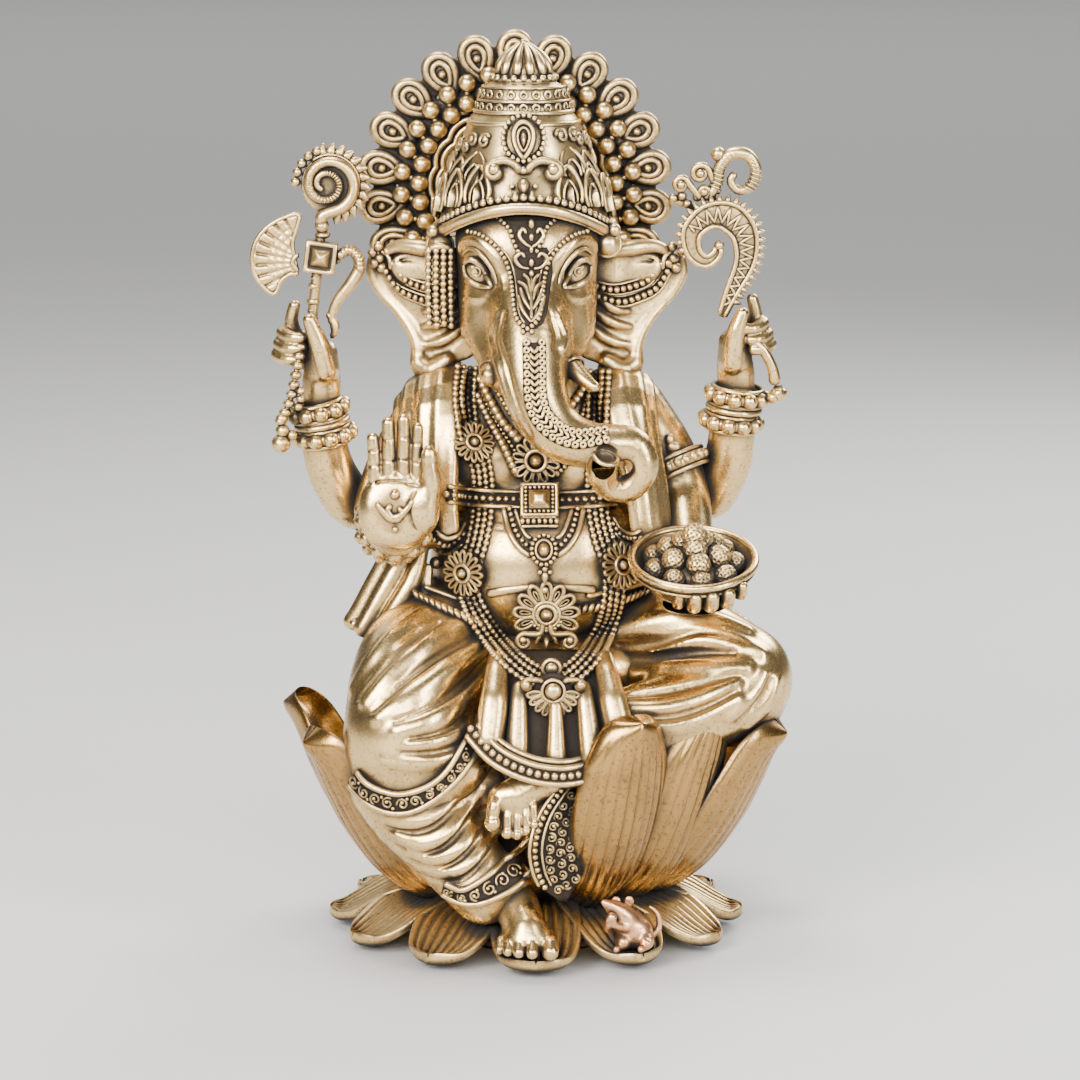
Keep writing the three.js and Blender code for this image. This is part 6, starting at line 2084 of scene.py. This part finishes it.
def mouse():
    clay = Clay((9, -38, -0.5), (25, -24, 18), 0.22)
    clay.ball(held(17.6, 1.6, -30.2), (3.5, 3.0, 3.2), 0)
    clay.ball(held(15.8, 4.2, -31.2), (2.5, 2.3, 2.4), 1.2)
    clay.bar([held(14.8, 5.4, -31.8), held(13.2, 6.6, -32.6), held(12.2, 7.2, -33.0)], [1.8, 1.25, 0.6], 0.9)
    for side, x in ((-1, 14.4), (1, 16.8)):
        clay.ball(held(x, 7.2, -31.0 + 0.5 * side), (0.95, 0.4, 1.05), 0.25)
        clay.bar([held(14.6 + side * 1.6, 2.6, -32.8), held(13.6 + side * 0.6, 3.2, -34.2),
                  held(13.4 + side * 0.4, 4.2, -34.6)],
                 [0.9, 0.7, 0.6], 0.4)
        clay.ball(held(17.8 + side * 2.0, 0.0, -32.2), (1.5, 1.8, 1.5), 0.6)
        clay.bar([held(17.2 + side * 2.2, -1.0, -33.0), held(16.6 + side * 2.2, -1.2, -34.6)], [0.75, 0.6],
                 0.4)
    clay.ball(held(13.6, 4.6, -34.6), (0.95, 0.9, 0.95), 0.15)
    clay.ball(held(13.6, 6.9, -32.6), (0.3, 0.4, 0.3), 0.1, dig=True)
    tail = held_line([(20.6, 0.6, -29.0), (22.2, 2.0, -28.4), (22.0, 4.6, -28.2), (20.6, 6.0, -28.4)])
    clay.bar(tail, [0.8, 0.6, 0.5, 0.3], 0.4)
    for i in range(5):
        clay.bar([held(15.6 + i, 4.6 - i * 0.9, -33.6), held(16.4 + i, 4.2 - i, -33.6)], [0.2, 0.2], 0.3,
                 dig=True)
    piece("mouse", clay.skin(1), "coppery_brass", nodes=["mouse"])


# ---- The whole figure ------------------------------------------------------------------------
lotus()
torso()
lap_dhoti()
right_leg()
left_leg()
filigree("knee_border", KNEE_HEM_LOW, KNEE_HEM, ["right_thigh"])
filigree("ankle_border", ANKLE_BAND_LOW, ANKLE_BAND, ["right_shin_wrap"])
shawl_tail()
shawls()
belt()
apron()
sash()
necklaces()
garland()
belly_ornament()
mouse()
rear_arms()
rear_hands()
front_right()
front_left()
bowl_and_sweets()
head()
tusks()
ear("right_ear", -1)
ear("left_ear", 1)
ear_tassel()
halo()
crown()
axe()
axe_scroll()
noose()
rosary()


# ---- Stage, light and camera -----------------------------------------------------------------
def area_light(name, place, target, size, power, colour=(1, 1, 1)):
    """A rectangular light aimed at a target, in metres and watts."""
    data = bpy.data.lights.new(name, "AREA")
    data.shape = "RECTANGLE"
    data.size, data.size_y = size
    data.energy = power
    data.color = colour
    light = bpy.data.objects.new(name, data)
    bpy.context.scene.collection.objects.link(light)
    light.location = place
    aim = Vector(target) - Vector(place)
    light.rotation_euler = aim.to_track_quat("-Z", "Y").to_euler()


FLOOR_SIZE = 14  # metres, so that the floor fills the view to its top
AIM = (0, 0, 0.075)  # the middle of the figure, in metres
EYE_AIM = (0.00074, 0, 0.0734)  # the middle of the view
EYE_DISTANCE, VIEW_WIDTH, SENSOR_WIDTH = 0.75, 0.1998, 36  # metres, metres and millimetres


def stage():
    bpy.ops.mesh.primitive_plane_add(size=FLOOR_SIZE, location=(0, 0, 0))
    floor = bpy.context.object
    floor.name = "floor"
    paint = bpy.data.materials.new("floor")
    paint.use_nodes = True
    shader = paint.node_tree.nodes["Principled BSDF"]
    shader.inputs["Base Color"].default_value = (0.50, 0.49, 0.48, 1)
    shader.inputs["Roughness"].default_value = 0.6
    floor.data.materials.append(paint)

    world = bpy.data.worlds.new("studio")
    bpy.context.scene.world = world
    world.use_nodes = True
    nodes, links = world.node_tree.nodes, world.node_tree.links
    place = nodes.new("ShaderNodeTexCoord")
    split = nodes.new("ShaderNodeSeparateXYZ")
    sky = nodes.new("ShaderNodeValToRGB")
    links.new(place.outputs["Generated"], split.inputs[0])
    lift = nodes.new("ShaderNodeMath")  # the height of a direction, from -1 to 1, brought to 0 to 1
    lift.operation = "MULTIPLY_ADD"
    lift.inputs[1].default_value = 0.5
    lift.inputs[2].default_value = 0.5
    links.new(split.outputs["Z"], lift.inputs[0])
    links.new(lift.outputs[0], sky.inputs[0])
    stops = sky.color_ramp.elements
    stops[0].position, stops[0].color = 0.0, (0.20, 0.19, 0.18, 1)
    stops[1].position, stops[1].color = 1.0, (0.30, 0.31, 0.33, 1)
    stops.new(0.5).color = (0.55, 0.54, 0.53, 1)
    stops.new(0.62).color = (0.16, 0.16, 0.17, 1)
    links.new(sky.outputs[0], nodes["Background"].inputs["Color"])
    nodes["Background"].inputs["Strength"].default_value = 0.42

    area_light("key", (-0.38, -0.60, 0.42), AIM, (0.30, 0.40), 12.0, (1.0, 0.97, 0.92))
    area_light("fill", (0.52, -0.48, 0.30), AIM, (0.16, 0.45), 6.0, (0.97, 0.98, 1.0))
    area_light("front", (0.0, -0.92, 0.45), AIM, (0.75, 0.34), 13.5)
    area_light("rim", (0.35, 0.5, 0.5), AIM, (0.4, 0.3), 6.0)
    area_light("backdrop", (0, 3.2, 2.0), (0, 3.21, 0), (6.0, 4.4), 110.0)
    area_light("top", (-0.1, 0.05, 0.8), AIM, (0.3, 0.3), 7.0)


def camera():
    data = bpy.data.cameras.new("camera")
    data.sensor_width = SENSOR_WIDTH
    data.lens = SENSOR_WIDTH * EYE_DISTANCE / VIEW_WIDTH
    data.clip_start = 0.01
    eye = bpy.data.objects.new("camera", data)
    bpy.context.scene.collection.objects.link(eye)
    target = Vector(EYE_AIM)
    eye.location = target - EYE_DISTANCE * Vector(LOOK)
    eye.rotation_euler = (target - eye.location).to_track_quat("-Z", "Y").to_euler()
    bpy.context.scene.camera = eye


stage()
camera()
